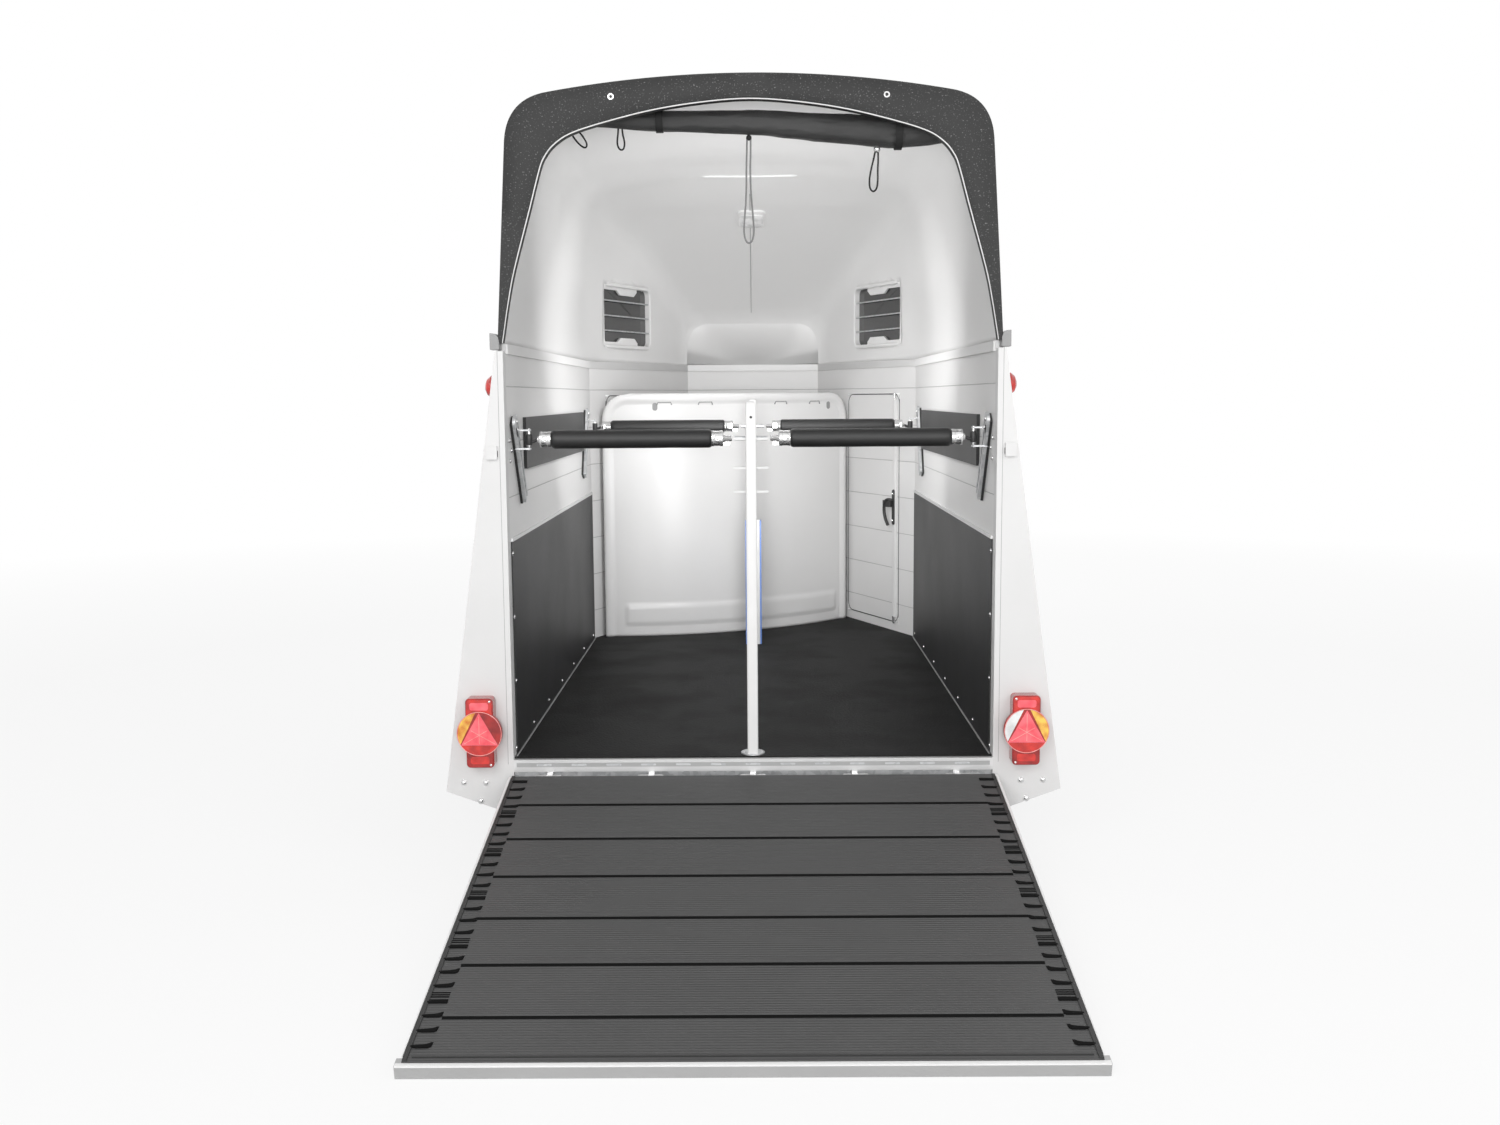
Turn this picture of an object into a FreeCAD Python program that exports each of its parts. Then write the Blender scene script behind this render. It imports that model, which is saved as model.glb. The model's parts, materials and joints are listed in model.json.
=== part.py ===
import FreeCAD, Part
import math
import os
import re
import Sketcher
from FreeCAD import Placement, Rotation, Vector

# Two-horse trailer, parked with its rear ramp down.
# X points right as seen from behind, Y forward, Z up from the ground.
# Stations are distances forward of the rear plane, where the pillars stand.

os.makedirs("parts", exist_ok=True)
doc = FreeCAD.newDocument("HorseTrailer")

# Driving dimensions, in millimetres, degrees or counts
SIZES = {
    # body
    "inner_width": 1650,
    "wall_thick": 25,
    "wall_height": 1417,
    "side_len": 2410,
    "nose_len": 1000,
    "nose_half": 375,
    "floor_top": 370,
    "mat_thick": 8,
    "board_thick": 18,
    "seat_gap": 0.3,
    "cut_spare": 20,
    # chassis and drawbar
    "rail_depth": 70,
    "rail_width": 50,
    "rail_spread": 1200,
    "beam_spread": 1000,
    "beam_width": 55,
    "apex_spread": 150,
    "drawbar_len": 540,
    "tie_len": 60,
    # axles
    "bogie_back": 1060,
    "axle_gap": 720,
    "axle_size": 70,
    "arm_len": 160,
    "arm_thick": 34,
    "arm_height": 60,
    "arm_boss_dia": 76,
    "arm_gap": 8,
    "spindle_dia": 40,
    "spindle_reach": 40,
    # wheels
    "wheel_track": 1940,
    "tyre_dia": 600,
    "tyre_width": 185,
    "bead_inset": 16,
    "bulge_drop": 60,
    "shoulder_drop": 22,
    "shoulder_step": 4,
    "shoulder_inset": 24,
    "rim_dia": 356,
    "rim_half": 76,
    "rim_lip": 9,
    "rim_well": 20,
    "disc_out": 42,
    "disc_dish": 8,
    "disc_thick": 16,
    "hub_dia": 124,
    "hub_nose_dia": 96,
    "hub_out": 62,
    "hub_cap_thick": 16,
    "drum_dia": 224,
    "drum_in": 72,
    "drum_out": 18,
    "running_gap": 0.05,
    # mudguards
    "guard_rise": 80,
    "guard_width": 235,
    "guard_thick": 5,
    "guard_reach": 140,
    "guard_bend": 40,
    "guard_foot_drop": 10,
    # overrun hitch
    "ball_reach": 1040,
    "ball_height": 430,
    "ball_dia": 50.6,
    "socket_depth": 55,
    "head_dia": 84,
    "head_height": 84,
    "head_drop": 48,
    "neck_width": 66,
    "neck_height": 76,
    "lever_len": 190,
    "lever_width": 30,
    "lever_thick": 14,
    "lever_back": 170,
    "lever_rise": 44,
    "lever_post_len": 30,
    "lever_post_width": 22,
    "lever_post_back": 60,
    "lever_post_height": 20,
    "housing_back": 170,
    "housing_len": 340,
    "housing_width": 90,
    "housing_over": 20,
    "foot_plate_len": 190,
    "foot_plate_width": 230,
    "foot_plate_thick": 10,
    "bellows_len": 150,
    "bellows_dia": 76,
    "bellows_fold": 8,
    "shaft_dia": 50,
    "shaft_drop": 20,
    "brake_back": 60,
    "brake_boss_dia": 50,
    "brake_boss_len": 18,
    "brake_arm_len": 330,
    "brake_arm_thick": 10,
    "brake_arm_width": 26,
    "brake_grip_len": 110,
    "brake_grip_thick": 24,
    "brake_grip_width": 32,
    "brake_angle": 50,
    # jockey wheel
    "jack_offset": 190,
    "jack_reach": 690,
    "jack_tube_dia": 60,
    "jack_leg_dia": 48,
    "jack_top": 820,
    "jack_travel": 110,
    "jack_cap": 8,
    "tube_bottom": 360,
    "leg_bottom": 250,
    "leg_end_gap": 20,
    "clamp_len": 60,
    "clamp_height": 70,
    "crank_len": 100,
    "crank_size": 14,
    "knob_dia": 22,
    "knob_height": 90,
    "fork_top": 240,
    "fork_thick": 8,
    "fork_len": 76,
    "fork_back": 52,
    "fork_gap": 10,
    "fork_plate": 6,
    "fork_width": 44,
    "fork_over": 16,
    "stub_dia": 20,
    "stub_len": 60,
    "jockey_dia": 200,
    "jockey_width": 50,
    "jockey_trail": 30,
    "jockey_pin_dia": 14,
    "jockey_shoulder": 11,
    # ramp
    "hinge_station": -52,
    "hinge_height": 307,
    "hinge_pin_dia": 14,
    "hinge_inset": 125,
    "lug_width": 20,
    "lug_height": 14,
    "lug_drop": 5,
    "knuckle_len": 32,
    "knuckle_dia": 26,
    "knuckle_gap": 1,
    "knuckle_bite": 2,
    "ramp_len": 1554,
    "ramp_lap": 9,
    "ramp_over": 13,
    "ramp_under": 23,
    "ramp_start": 18,
    "toe_lap": 25,
    "toe_depth": 30,
    "ramp_mat_thick": 8,
    "ramp_edge": 26,
    "ramp_mat_gap": 10,
    # rear end
    "pillar_depth": 50,
    "pillar_back": 20,
    "pillar_foot": 235,
    "pillar_foot_in": 55,
    "pillar_drop": 160,
    "pillar_low_drop": 180,
    "pillar_side_drop": 115,
    "cap_height": 27,
    "cap_over": 10,
    "keeper_width": 37,
    "keeper_depth": 14,
    "keeper_height": 45,
    "keeper_rise": 1030,
    "keeper_out": 20,
    "sill_height": 42,
    "sill_drop": 5,
    "lamp_height": 241,
    "lamp_width": 95,
    "lamp_disc_dia": 154,
    "lamp_disc_out": 6,
    "lamp_depth": 55,
    "lamp_offset": 932,
    "lamp_rise": 102,
    "marker_rise": 1272,
    "marker_dia": 78,
    "marker_depth": 30,
    "marker_back": 25,
    "marker_stem_out": 22,
    "marker_stem_width": 30,
    "marker_stem_height": 60,
    # posts
    "post_width": 37,
    "post_over": 129,
    "post_set": 6,
    "post_foot_dia": 84,
    "post_foot_thick": 6,
    "hook_span": 120,
    "hook_width": 16,
    "hook_thick": 8,
    "hook_drop": 97,
    "low_hook_drop": 178,
    "arm_beam_width": 24,
    "arm_beam_height": 20,
    "arm_tip_gap": 6,
    "front_post_back": 180,
    "sleeve_below": 466,
    "sleeve_over": 8,
    # bars
    "bar_height": 1091,
    "bar_dia": 30,
    "pad_dia": 66,
    "pad_start": 137,
    "pad_end": 690,
    "collar_dia": 56,
    "collar_len": 42,
    "bar_pivot": 770,
    "bar_tip": 64,
    "eye_dia": 34,
    "eye_height": 38,
    "eye_bite": 4,
    "pin_dia": 10,
    "rear_bar_station": 140,
    "front_bar_back": 265,
    # things on the side walls
    "bracket_thick": 14,
    "bracket_width": 56,
    "bracket_up": 96,
    "bracket_down": 262,
    "rear_bracket_lean": 33,
    "front_bracket_lean": 24,
    "bracket_pin_len": 76,
    "bracket_lug_thick": 12,
    "bracket_lug_width": 20,
    "bracket_lug_reach": 9,
    "kick_thick": 5,
    "kick_gap": 10,
    "kick_below": 346,
    "wall_pad_thick": 12,
    "wall_pad_start": 350,
    "wall_pad_end_gap": 360,
    "wall_pad_height": 185,
    "wall_pad_below": 111,
    # tack panel
    "tack_thick": 30,
    "tack_height": 1250,
    "tack_left": 766,
    "tack_left_gap": 53,
    "tack_middle": 22,
    "tack_middle_gap": 216,
    "tack_right": 510,
    "tack_right_gap": 638,
    # hood
    "hood_thick": 5,
    "hood_rise": 2282,
    "hood_base_half": 842,
    "hood_lean": 3.4,
    "hood_corner": 140,
    "hood_crown": 3900,
    "brow_back": 510,
    "brow_radius": 2200,
    "brow_over": 3,
    "band_height": 82,
    "band_base_half": 826,
    "band_lean": 14.5,
    "band_corner": 90,
    "band_crown": 1500,
    "band_depth": 50,
    "window_width": 517,
    "window_height": 315,
    "window_rise": 1500,
    "window_along": 418,
    "window_frame": 40,
    "window_lip": 12,
    "hood_lean_room": 100,
    "window_ring": 18,
    "pane_thick": 5,
    "pane_set": 6,
    # doors
    "door_width": 550,
    "door_bottom": 50,
    "door_top": 1240,
    "door_along": 440,
    "door_gap": 7,
    "door_pivot_out": 12,
    "hinge_low": 150,
    "hinge_high": 250,
    "door_knuckle_dia": 18,
    "door_knuckle_len": 60,
    "strap_len": 60,
    "strap_over": 5,
    "door_lug_len": 40,
    "door_lug_height": 24,
    "door_lug_over": 6,
    "door_lug_bite": 2,
    "door_lug_gap": 6,
    "leaf_width": 26,
    "leaf_thick": 5,
    "leaf_set": 9,
    "latch_set": 45,
    "latch_width": 34,
    "latch_thick": 6,
    "latch_height": 190,
    "latch_rise": 520,
    "grip_shift": 14,
    "grip_width": 22,
    "grip_thick": 12,
    "grip_len": 110,
    "grip_out": 40,
    "grip_rise": 25,
    "grip_stem_width": 18,
    "grip_stem_height": 16,
    "grip_stem_gap": 7,
    # rolled tarp and its loops
    "roll_station": 110,
    "roll_left": 640,
    "roll_left_low": 2146,
    "roll_middle_rise": 2150,
    "roll_middle_dia": 100,
    "roll_right": 470,
    "roll_right_rise": 2115,
    "roll_right_dia": 128,
    "roll_end": 673,
    "roll_end_rise": 2118,
    "roll_end_dia": 100,
    "loop_dia": 6,
    "loop_station": 120,
}

sheet = doc.addObject("Spreadsheet::Sheet", "Size")
for row, (alias, number) in enumerate(SIZES.items(), start=1):
    sheet.set(f"A{row}", alias)
    sheet.set(f"B{row}", str(number))
    sheet.setAlias(f"B{row}", alias)
doc.recompute()

# Sizes that follow from the driving ones
DERIVED = {
    "half": "inner_width / 2",
    "outer_half": "half + wall_thick",
    "board_top": "floor_top - mat_thick",
    "chassis_top": "board_top - board_thick",
    "chassis_bottom": "chassis_top - rail_depth",
    "wall_top": "floor_top + wall_height",
    "nose_station": "side_len + nose_len",
    "slant": "atan((half - nose_half) / nose_len)",
    "side_miter": "wall_thick * tan(slant / 2)",
    "nose_miter": "wall_thick * tan(45 deg - slant / 2)",
    "wheel_x": "wheel_track / 2",
    "wheel_z": "tyre_dia / 2",
    "bogie_station": "side_len - bogie_back",
    "axle_z": "chassis_bottom - axle_size / 2",
    "arm_fall": "atan((wheel_z - axle_z) / arm_len)",
    "guard_top": "tyre_dia + guard_rise",
    "guard_half": "axle_gap / 2 + tyre_dia / 2",
    "hinge_pitch": "(half - hinge_inset) / 2",
    "band_rise": "hood_rise - band_height",
    "ramp_width": "2 * (half + ramp_lap)",
    "toe_width": "2 * (half + toe_lap)",
    "ramp_angle": "asin(hinge_height / sqrt(ramp_len ^ 2 + ramp_under ^ 2)) - atan(ramp_under / ramp_len)",
    "toe_station": "hinge_station - ramp_len * cos(ramp_angle) - ramp_over * sin(ramp_angle)",
    "ball_station": "nose_station + ball_reach",
    "hitch_station": "ball_station + head_dia / 2",
    "rear_y": "-(toe_station + hitch_station) / 2",
    "bar_z": "floor_top + bar_height",
    "front_bar_station": "side_len - front_bar_back",
    "front_post_station": "side_len - front_post_back",
    "post_height": "bar_height + post_over",
    "apex_station": "nose_station + drawbar_len",
    "beam_slant": "atan((beam_spread - apex_spread) / 2 / (apex_station - side_len))",
    "body_start": "pillar_depth - pillar_back",
    "housing_start": "apex_station - housing_back",
    "housing_end": "housing_start + housing_len",
    "shaft_z": "ball_height - shaft_drop",
    "brake_start": "brake_arm_len - brake_grip_len + brake_arm_thick",
    "jack_station": "nose_station + jack_reach",
    "jockey_station": "jack_station - jockey_trail",
    "lamp_z": "floor_top + lamp_rise",
    "brow_station": "side_len - brow_back",
    "window_low": "floor_top + window_rise",
    "window_start": "window_along - window_width / 2",
    "door_low": "floor_top + door_bottom",
    "door_height": "door_top - door_bottom",
    "door_start": "door_along - door_width / 2",
    "door_end": "door_along + door_width / 2",
    "latch_start": "door_start + latch_set",
}
WORD = re.compile(r"[A-Za-z_]\w*")


def formula(text):
    """Turn plain names into references to the sheet, opening up the derived ones."""
    def reference(match):
        word = match.group()
        if word in SIZES:
            return f"Size.{word}"
        if word in DERIVED:
            return f"({formula(DERIVED[word])})"
        return word
    return WORD.sub(reference, str(text))


def amount(text):
    """The present value of a formula, as a plain number."""
    result = sheet.evalExpression(formula(text))
    return float(getattr(result, "Value", result))


def bind(thing, **properties):
    for name, text in properties.items():
        thing.setExpression(name, formula(text))
    return thing


stations = {}


def place(thing, at=(0, 0, 0), axis=(0, 0, 1), turn=0):
    """Place a thing at x, station, z, turned about an axis through its own origin."""
    x, station, z = at
    stations[thing.Name] = station
    thing.Placement = Placement(Vector(), Rotation(Vector(*axis), 90))
    thing.setExpression("Placement.Base.x", formula(x))
    thing.setExpression("Placement.Base.y", formula(station))
    thing.setExpression("Placement.Base.z", formula(z))
    thing.setExpression("Placement.Rotation.Angle", formula(turn))
    return thing


def block(size, at, axis=(0, 0, 1), turn=0):
    """A box whose low corner is at the given point before it turns about that point."""
    thing = doc.addObject("Part::Box", "Block")
    bind(thing, Length=size[0], Width=size[1], Height=size[2])
    return place(thing, at, axis, turn)


def beam(size, at):
    """A box centred on x, resting on z and starting at a station."""
    width, length, height = size
    x, station, z = at
    return block((width, length, height), (f"({x}) - ({width}) / 2", station, z))


ALONG = {"x": ((0, 1, 0), 90), "y": ((1, 0, 0), -90), "z": ((0, 0, 1), 0)}


def rod(dia, length, at, along="z"):
    thing = doc.addObject("Part::Cylinder", "Rod")
    bind(thing, Radius=f"({dia}) / 2", Height=length)
    axis, turn = ALONG[along]
    return place(thing, at, axis, turn)


def fuse(*things):
    thing = doc.addObject("Part::MultiFuse", "Fused")
    thing.Shapes = list(things)
    return thing


def cut(base, *tools):
    thing = doc.addObject("Part::Cut", "Cut")
    thing.Base = base
    thing.Tool = tools[0] if len(tools) == 1 else fuse(*tools)
    return thing


def group(*things):
    thing = doc.addObject("Part::Compound", "Group")
    thing.Links = list(things)
    return thing


def mirror(source):
    thing = doc.addObject("Part::Mirroring", "Mirrored")
    thing.Source = source
    thing.Normal = (1, 0, 0)
    return thing


def both_sides(source):
    return group(source, mirror(source))


def outline(points, plane):
    """A body with a closed sketch through the points, each point bound to its formulas."""
    body = doc.addObject("PartDesign::Body", "Body")
    sketch = body.newObject("Sketcher::SketchObject", "Outline")
    support = [item for item in body.Origin.OriginFeatures if item.Role == plane][0]
    sketch.AttachmentSupport = [(support, "")]
    sketch.MapMode = "FlatFace"
    spots = [Vector(amount(u), amount(v), 0) for u, v in points]
    for first, second in zip(spots, spots[1:] + spots[:1]):
        sketch.addGeometry(Part.LineSegment(first, second))
    count = len(spots)
    for index in range(count):
        sketch.addConstraint(Sketcher.Constraint("Coincident", index, 2, (index + 1) % count, 1))
    for index, (u, v) in enumerate(points):
        for kind, text in (("DistanceX", u), ("DistanceY", v)):
            number = sketch.addConstraint(
                Sketcher.Constraint(kind, -1, 1, index, 1, amount(text)))
            sketch.setExpression(f"Constraints[{number}]", formula(text))
    return body, sketch


def pad(points, length, plane, at=(0, 0, 0), axis=(0, 0, 1), turn=0):
    body, sketch = outline(points, plane)
    feature = body.newObject("PartDesign::Pad", "Pad")
    feature.Profile = sketch
    bind(feature, Length=length)
    body.Tip = feature
    return place(body, at, axis, turn)


def spun(points, at=(0, 0, 0), axis=(0, 0, 1), turn=0):
    """A turned piece: points are (distance along X, radius)."""
    body, sketch = outline(points, "XY_Plane")
    feature = body.newObject("PartDesign::Revolution", "Spun")
    feature.Profile = sketch
    feature.ReferenceAxis = (sketch, ["H_Axis"])
    feature.Angle = 360
    body.Tip = feature
    return place(body, at, axis, turn)


def formed(shape):
    """A shape made with Part's own functions from sizes read off the sheet."""
    thing = doc.addObject("Part::Feature", "Formed")
    thing.Shape = shape
    return thing


nodes = {}


def node(name, thing):
    """A finished sub-part: it gets its name, and moves from stations to the trailer's frame."""
    thing.Label = name
    thing.setExpression("Placement.Base.y", formula(f"rear_y + ({stations.get(thing.Name, 0)})"))
    nodes[name] = thing


# Chassis: two rails and five cross members
def chassis_frame():
    members = []
    for side in (-1, 1):
        members.append(beam(("rail_width", "side_len", "rail_depth"),
                            (f"{side} * rail_spread / 2", 0, "chassis_bottom")))
    for share in (0, 0.25, 0.5, 0.75, 1):
        members.append(beam(("inner_width", "rail_width", "rail_depth"),
                            (0, f"(side_len - rail_width) * {share}", "chassis_bottom")))
    return fuse(*members)


node("chassis_frame", chassis_frame())


# Drawbar: two beams that run together to the overrun housing
def drawbar():
    inner = "beam_width / 2 / cos(beam_slant)"
    beams = []
    for side in (-1, 1):
        points = [(f"{side} * (beam_spread / 2 - {inner})", "side_len"),
                  (f"{side} * (beam_spread / 2 + {inner})", "side_len"),
                  (f"{side} * (apex_spread / 2 + {inner})", "apex_station"),
                  (f"{side} * (apex_spread / 2 - {inner})", "apex_station")]
        beams.append(pad(points, "rail_depth", "XY_Plane", (0, 0, "chassis_bottom")))
    tie = beam(("apex_spread", "tie_len", "rail_depth"), (0, "apex_station - tie_len", "chassis_bottom"))
    return fuse(beams[0], beams[1], tie)


node("drawbar", drawbar())


# Axles: a square tube under the rails, trailing arms and stub axles
def axle(station):
    reach = "(wheel_x - tyre_width / 2 - arm_gap)"
    hub = "(wheel_x + spindle_reach)"
    pieces = [beam((f"2 * ({reach} - arm_thick)", "axle_size", "axle_size"),
                   (0, f"{station} + arm_len - axle_size / 2", "chassis_bottom - axle_size"))]
    for side in (-1, 1):
        arm_low = f"{side} * ({reach} - arm_thick / 2) - arm_thick / 2"
        pieces.append(block(("arm_thick", "arm_len / cos(arm_fall)", "arm_height"),
                            (arm_low, f"{station} - arm_height / 2 * sin(arm_fall)",
                             "wheel_z - arm_height / 2 * cos(arm_fall)"), (1, 0, 0), "-arm_fall"))
        pieces.append(rod("arm_boss_dia", "arm_thick", (arm_low, station, "wheel_z"), "x"))
        pieces.append(rod("arm_boss_dia", "arm_thick", (arm_low, f"{station} + arm_len", "axle_z"), "x"))
        spindle_low = reach if side > 0 else f"-{hub}"
        pieces.append(rod("spindle_dia", f"{hub} - {reach}", (spindle_low, station, "wheel_z"), "x"))
    return fuse(*pieces)


WHEEL_STATIONS = {"rear": "(bogie_station - axle_gap / 2)", "front": "(bogie_station + axle_gap / 2)"}
for end, station in WHEEL_STATIONS.items():
    node(f"{end}_axle", axle(station))


# Wheels: the profiles are distances outward from the wheel's middle, and radii
def tyre(at, turn):
    radius = "tyre_dia / 2"
    width = "tyre_width / 2"
    half = [(f"{width} - bead_inset", "rim_dia / 2"), (width, f"{radius} - bulge_drop"),
            (f"{width} - shoulder_step", f"{radius} - shoulder_drop"),
            (f"{width} - shoulder_inset", radius)]
    points = [(f"-({out})", height) for out, height in half] + half[::-1]
    return spun(points, at, (0, 0, 1), turn)


def rim(at, turn):
    bore = "(spindle_dia / 2 + running_gap)"
    edge = "rim_dia / 2"
    cap = "hub_out - hub_cap_thick"
    hub = "hub_dia / 2"
    points = [("-rim_half", edge), ("rim_half", edge), ("rim_half", f"{edge} - rim_lip"),
              ("disc_out", f"{edge} - rim_well"), ("disc_out + disc_dish", hub),
              ("hub_out", "hub_nose_dia / 2"), ("hub_out", 0), (cap, 0), (cap, bore),
              ("-drum_in", bore), ("-drum_in", "drum_dia / 2"), ("-drum_out", "drum_dia / 2"),
              ("-drum_out", hub), ("disc_out + disc_dish - disc_thick", hub),
              ("disc_out - disc_thick", f"{edge} - rim_well"), ("-rim_half", f"{edge} - rim_lip")]
    return spun(points, at, (0, 0, 1), turn)


for side_name, side in (("left", -1), ("right", 1)):
    for end, station in WHEEL_STATIONS.items():
        spot = (f"{side} * wheel_x", station, "wheel_z")
        turn = 0 if side > 0 else 180
        node(f"{side_name}_{end}_tyre", tyre(spot, turn))
        node(f"{side_name}_{end}_rim", rim(spot, turn))


# Mudguards: one bent sheet over both wheels of a side
def mudguard():
    # half length and height of the outer bends, from the foot up, then of the inner ones
    outer = [("(guard_half + guard_reach)", "floor_top - guard_foot_drop"),
             ("(guard_half - guard_bend)", "guard_top - guard_bend"),
             ("(guard_half - 3 * guard_bend)", "guard_top")]
    inner = [("(guard_half + guard_reach - guard_thick)", "floor_top - guard_foot_drop"),
             ("(guard_half - guard_bend - guard_thick)", "guard_top - guard_bend - guard_thick"),
             ("(guard_half - 3 * guard_bend - guard_thick)", "guard_top - guard_thick")]
    rear = [(f"bogie_station - {reach}", height) for reach, height in outer]
    front = [(f"bogie_station + {reach}", height) for reach, height in outer[::-1]]
    front_in = [(f"bogie_station + {reach}", height) for reach, height in inner]
    rear_in = [(f"bogie_station - {reach}", height) for reach, height in inner[::-1]]
    return pad(rear + front + front_in + rear_in, "guard_width", "YZ_Plane", ("outer_half", 0, 0))


node("mudguards", both_sides(mudguard()))


# Floor: boards on the chassis, rubber mat on the boards
def floor_layer(bottom, thick):
    points = [("-half", 0), ("half", 0), ("half", "side_len"), ("nose_half", "nose_station"),
              ("-nose_half", "nose_station"), ("-half", "side_len")]
    return pad(points, thick, "XY_Plane", (0, 0, bottom))


node("floor_board", floor_layer("chassis_top", "board_thick"))
node("floor_mat", floor_layer("board_top", "mat_thick"))


# Side walls, and the angled front walls with the nose wall between them
def side_wall():
    points = [("half", "body_start"), ("outer_half", "body_start"),
              ("outer_half", "side_len + side_miter"), ("half", "side_len")]
    return pad(points, "wall_top - chassis_top", "XY_Plane", (0, 0, "chassis_top"))


def on_slant(along, out, side):
    """A point on an angled wall: distance along its inner face from the side wall, and outward."""
    x = f"{side} * (half - ({along}) * sin(slant) + ({out}) * cos(slant))"
    station = f"side_len + ({along}) * cos(slant) + ({out}) * sin(slant)"
    return x, station


def slanted_block(size, along, out, z, side):
    """A box on an angled wall: length along the wall, thickness outward, height."""
    length, thick, height = size
    # on the right its width runs inward, so it starts from its outer face
    x, station = on_slant(along, f"({out}) + ({thick})" if side > 0 else out, side)
    turn = "90 deg + slant" if side > 0 else "90 deg - slant"
    return block((length, thick, height), (x, station, z), (0, 0, 1), turn)


def doorway(side):
    """The hole for a door in an angled wall."""
    size = ("door_width + 2 * door_gap", "wall_thick + 2 * cut_spare", "door_height + 2 * door_gap")
    return slanted_block(size, "door_start - door_gap", "-cut_spare", "door_low - door_gap", side)


def front_wall():
    points = [("half", "side_len"), ("outer_half", "side_len + side_miter"),
              ("nose_half + nose_miter", "nose_station + wall_thick"),
              ("-(nose_half + nose_miter)", "nose_station + wall_thick"),
              ("-outer_half", "side_len + side_miter"), ("-half", "side_len"),
              ("-nose_half", "nose_station"), ("nose_half", "nose_station")]
    shell = pad(points, "wall_top - chassis_top", "XY_Plane", (0, 0, "chassis_top"))
    return cut(shell, doorway(-1), doorway(1))


right_wall = side_wall()
node("right_wall", group(right_wall))
node("left_wall", group(mirror(right_wall)))
node("front_wall", front_wall())

# Doors in the angled walls: a slab with two hinge knuckles, on pins that leaves on the wall hold
DOOR_HINGE_RISES = ("(door_low + hinge_low)", "(door_low + door_height - hinge_high)")


def door_pivot(side):
    return on_slant("door_end + door_gap / 2", "wall_thick + door_pivot_out", side)


def door(side):
    pieces = [slanted_block(("door_width", "wall_thick", "door_height"), "door_start", 0, "door_low", side)]
    x, station = door_pivot(side)
    for rise in DOOR_HINGE_RISES:
        pieces.append(slanted_block(("strap_len", "door_pivot_out", "door_knuckle_len"),
                                    "door_end - strap_len + strap_over + door_gap / 2", "wall_thick",
                                    rise, side))
        pieces.append(rod("door_knuckle_dia", "door_knuckle_len", (x, station, rise)))
    hole = rod("pin_dia + 2 * seat_gap", "door_height", (x, station, "door_low"))
    return cut(fuse(*pieces), hole)


def door_hinge(side):
    pieces = []
    x, station = door_pivot(side)
    span = "(door_lug_height + door_lug_gap)"
    for rise in DOOR_HINGE_RISES:
        low = f"{rise} - {span}"
        height = f"door_knuckle_len + 2 * {span}"
        pin = rod("pin_dia", height, (x, station, low))
        lugs = [slanted_block(("door_lug_len", "door_pivot_out + door_lug_over", "door_lug_height"),
                              "door_end - door_lug_bite", "wall_thick", level, side)
                for level in (low, f"{rise} + door_knuckle_len + door_lug_gap")]
        leaf = slanted_block(("leaf_width", "leaf_thick", height), "door_end + door_gap + leaf_set",
                             "wall_thick", low, side)
        pieces.append(fuse(pin, leaf, *lugs))
    return pieces


def door_handle(side):
    low = "(floor_top + latch_rise)"
    grip_low = f"{low} + grip_rise"
    middle = "latch_start + grip_shift"
    plate = slanted_block(("latch_width", "latch_thick", "latch_height"),
                          "latch_start - latch_width / 2", "-latch_thick", low, side)
    grip = slanted_block(("grip_width", "grip_thick", "grip_len"),
                         f"{middle} - grip_width / 2", "-grip_out", grip_low, side)
    stems = [slanted_block(("grip_stem_width", "grip_out - latch_thick", "grip_stem_height"),
                           f"{middle} - grip_stem_width / 2", "latch_thick - grip_out", level, side)
             for level in (f"{grip_low} + grip_stem_gap",
                           f"{grip_low} + grip_len - grip_stem_gap - grip_stem_height")]
    return fuse(plate, grip, *stems)


node("jockey_door", door(1))
node("jockey_door_handle", door_handle(1))
node("tack_door", door(-1))
node("door_hinges", group(*door_hinge(1), *door_hinge(-1)))


# Rear pillars with the lamp plates and the ramp's keepers
def pillar():
    top = "wall_top - cap_height"
    points = [("half", "floor_top - pillar_drop"), ("half + pillar_foot_in", "floor_top - pillar_low_drop"),
              ("half + pillar_foot", "floor_top - pillar_side_drop"), ("outer_half + knuckle_bite", top),
              ("half", top)]
    plate = pad(points, "pillar_depth", "XZ_Plane", (0, "body_start", 0))
    keeper = beam(("keeper_width", "keeper_depth", "keeper_height"),
                  ("outer_half + keeper_out", "-pillar_back - keeper_depth + knuckle_gap",
                   "floor_top + keeper_rise"))
    return fuse(plate, keeper)


def pillar_cap():
    return beam(("wall_thick + cap_over", "pillar_depth", "cap_height"),
                ("half + (wall_thick + cap_over) / 2", "-pillar_back", "wall_top - cap_height"))


node("rear_pillars", both_sides(pillar()))
node("pillar_caps", both_sides(pillar_cap()))

# Rear sill with the fixed lugs and pins of the ramp's hinges
HINGE_SPOTS = [f"({count} * hinge_pitch)" for count in (-2, -1, 0, 1, 2)]


def rear_sill():
    pieces = [beam(("inner_width", "pillar_back", "sill_height"),
                   (0, "-pillar_back", "floor_top - sill_drop - sill_height"))]
    reach = "(lug_width / 2 + knuckle_len + knuckle_gap)"
    for spot in HINGE_SPOTS:
        pieces.append(rod("hinge_pin_dia", f"2 * {reach}",
                          (f"{spot} - {reach}", "hinge_station", "hinge_height"), "x"))
        pieces.append(rod("knuckle_dia", "lug_width",
                          (f"{spot} - lug_width / 2", "hinge_station", "hinge_height"), "x"))
        pieces.append(beam(("lug_width", "-hinge_station", "lug_height"),
                           (spot, "hinge_station", "hinge_height - lug_drop")))
        pieces.append(beam(("lug_width", "pillar_back", "floor_top - sill_drop - hinge_height"),
                           (spot, "-pillar_back", "hinge_height")))
    return fuse(*pieces)


node("rear_sill", rear_sill())


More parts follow.
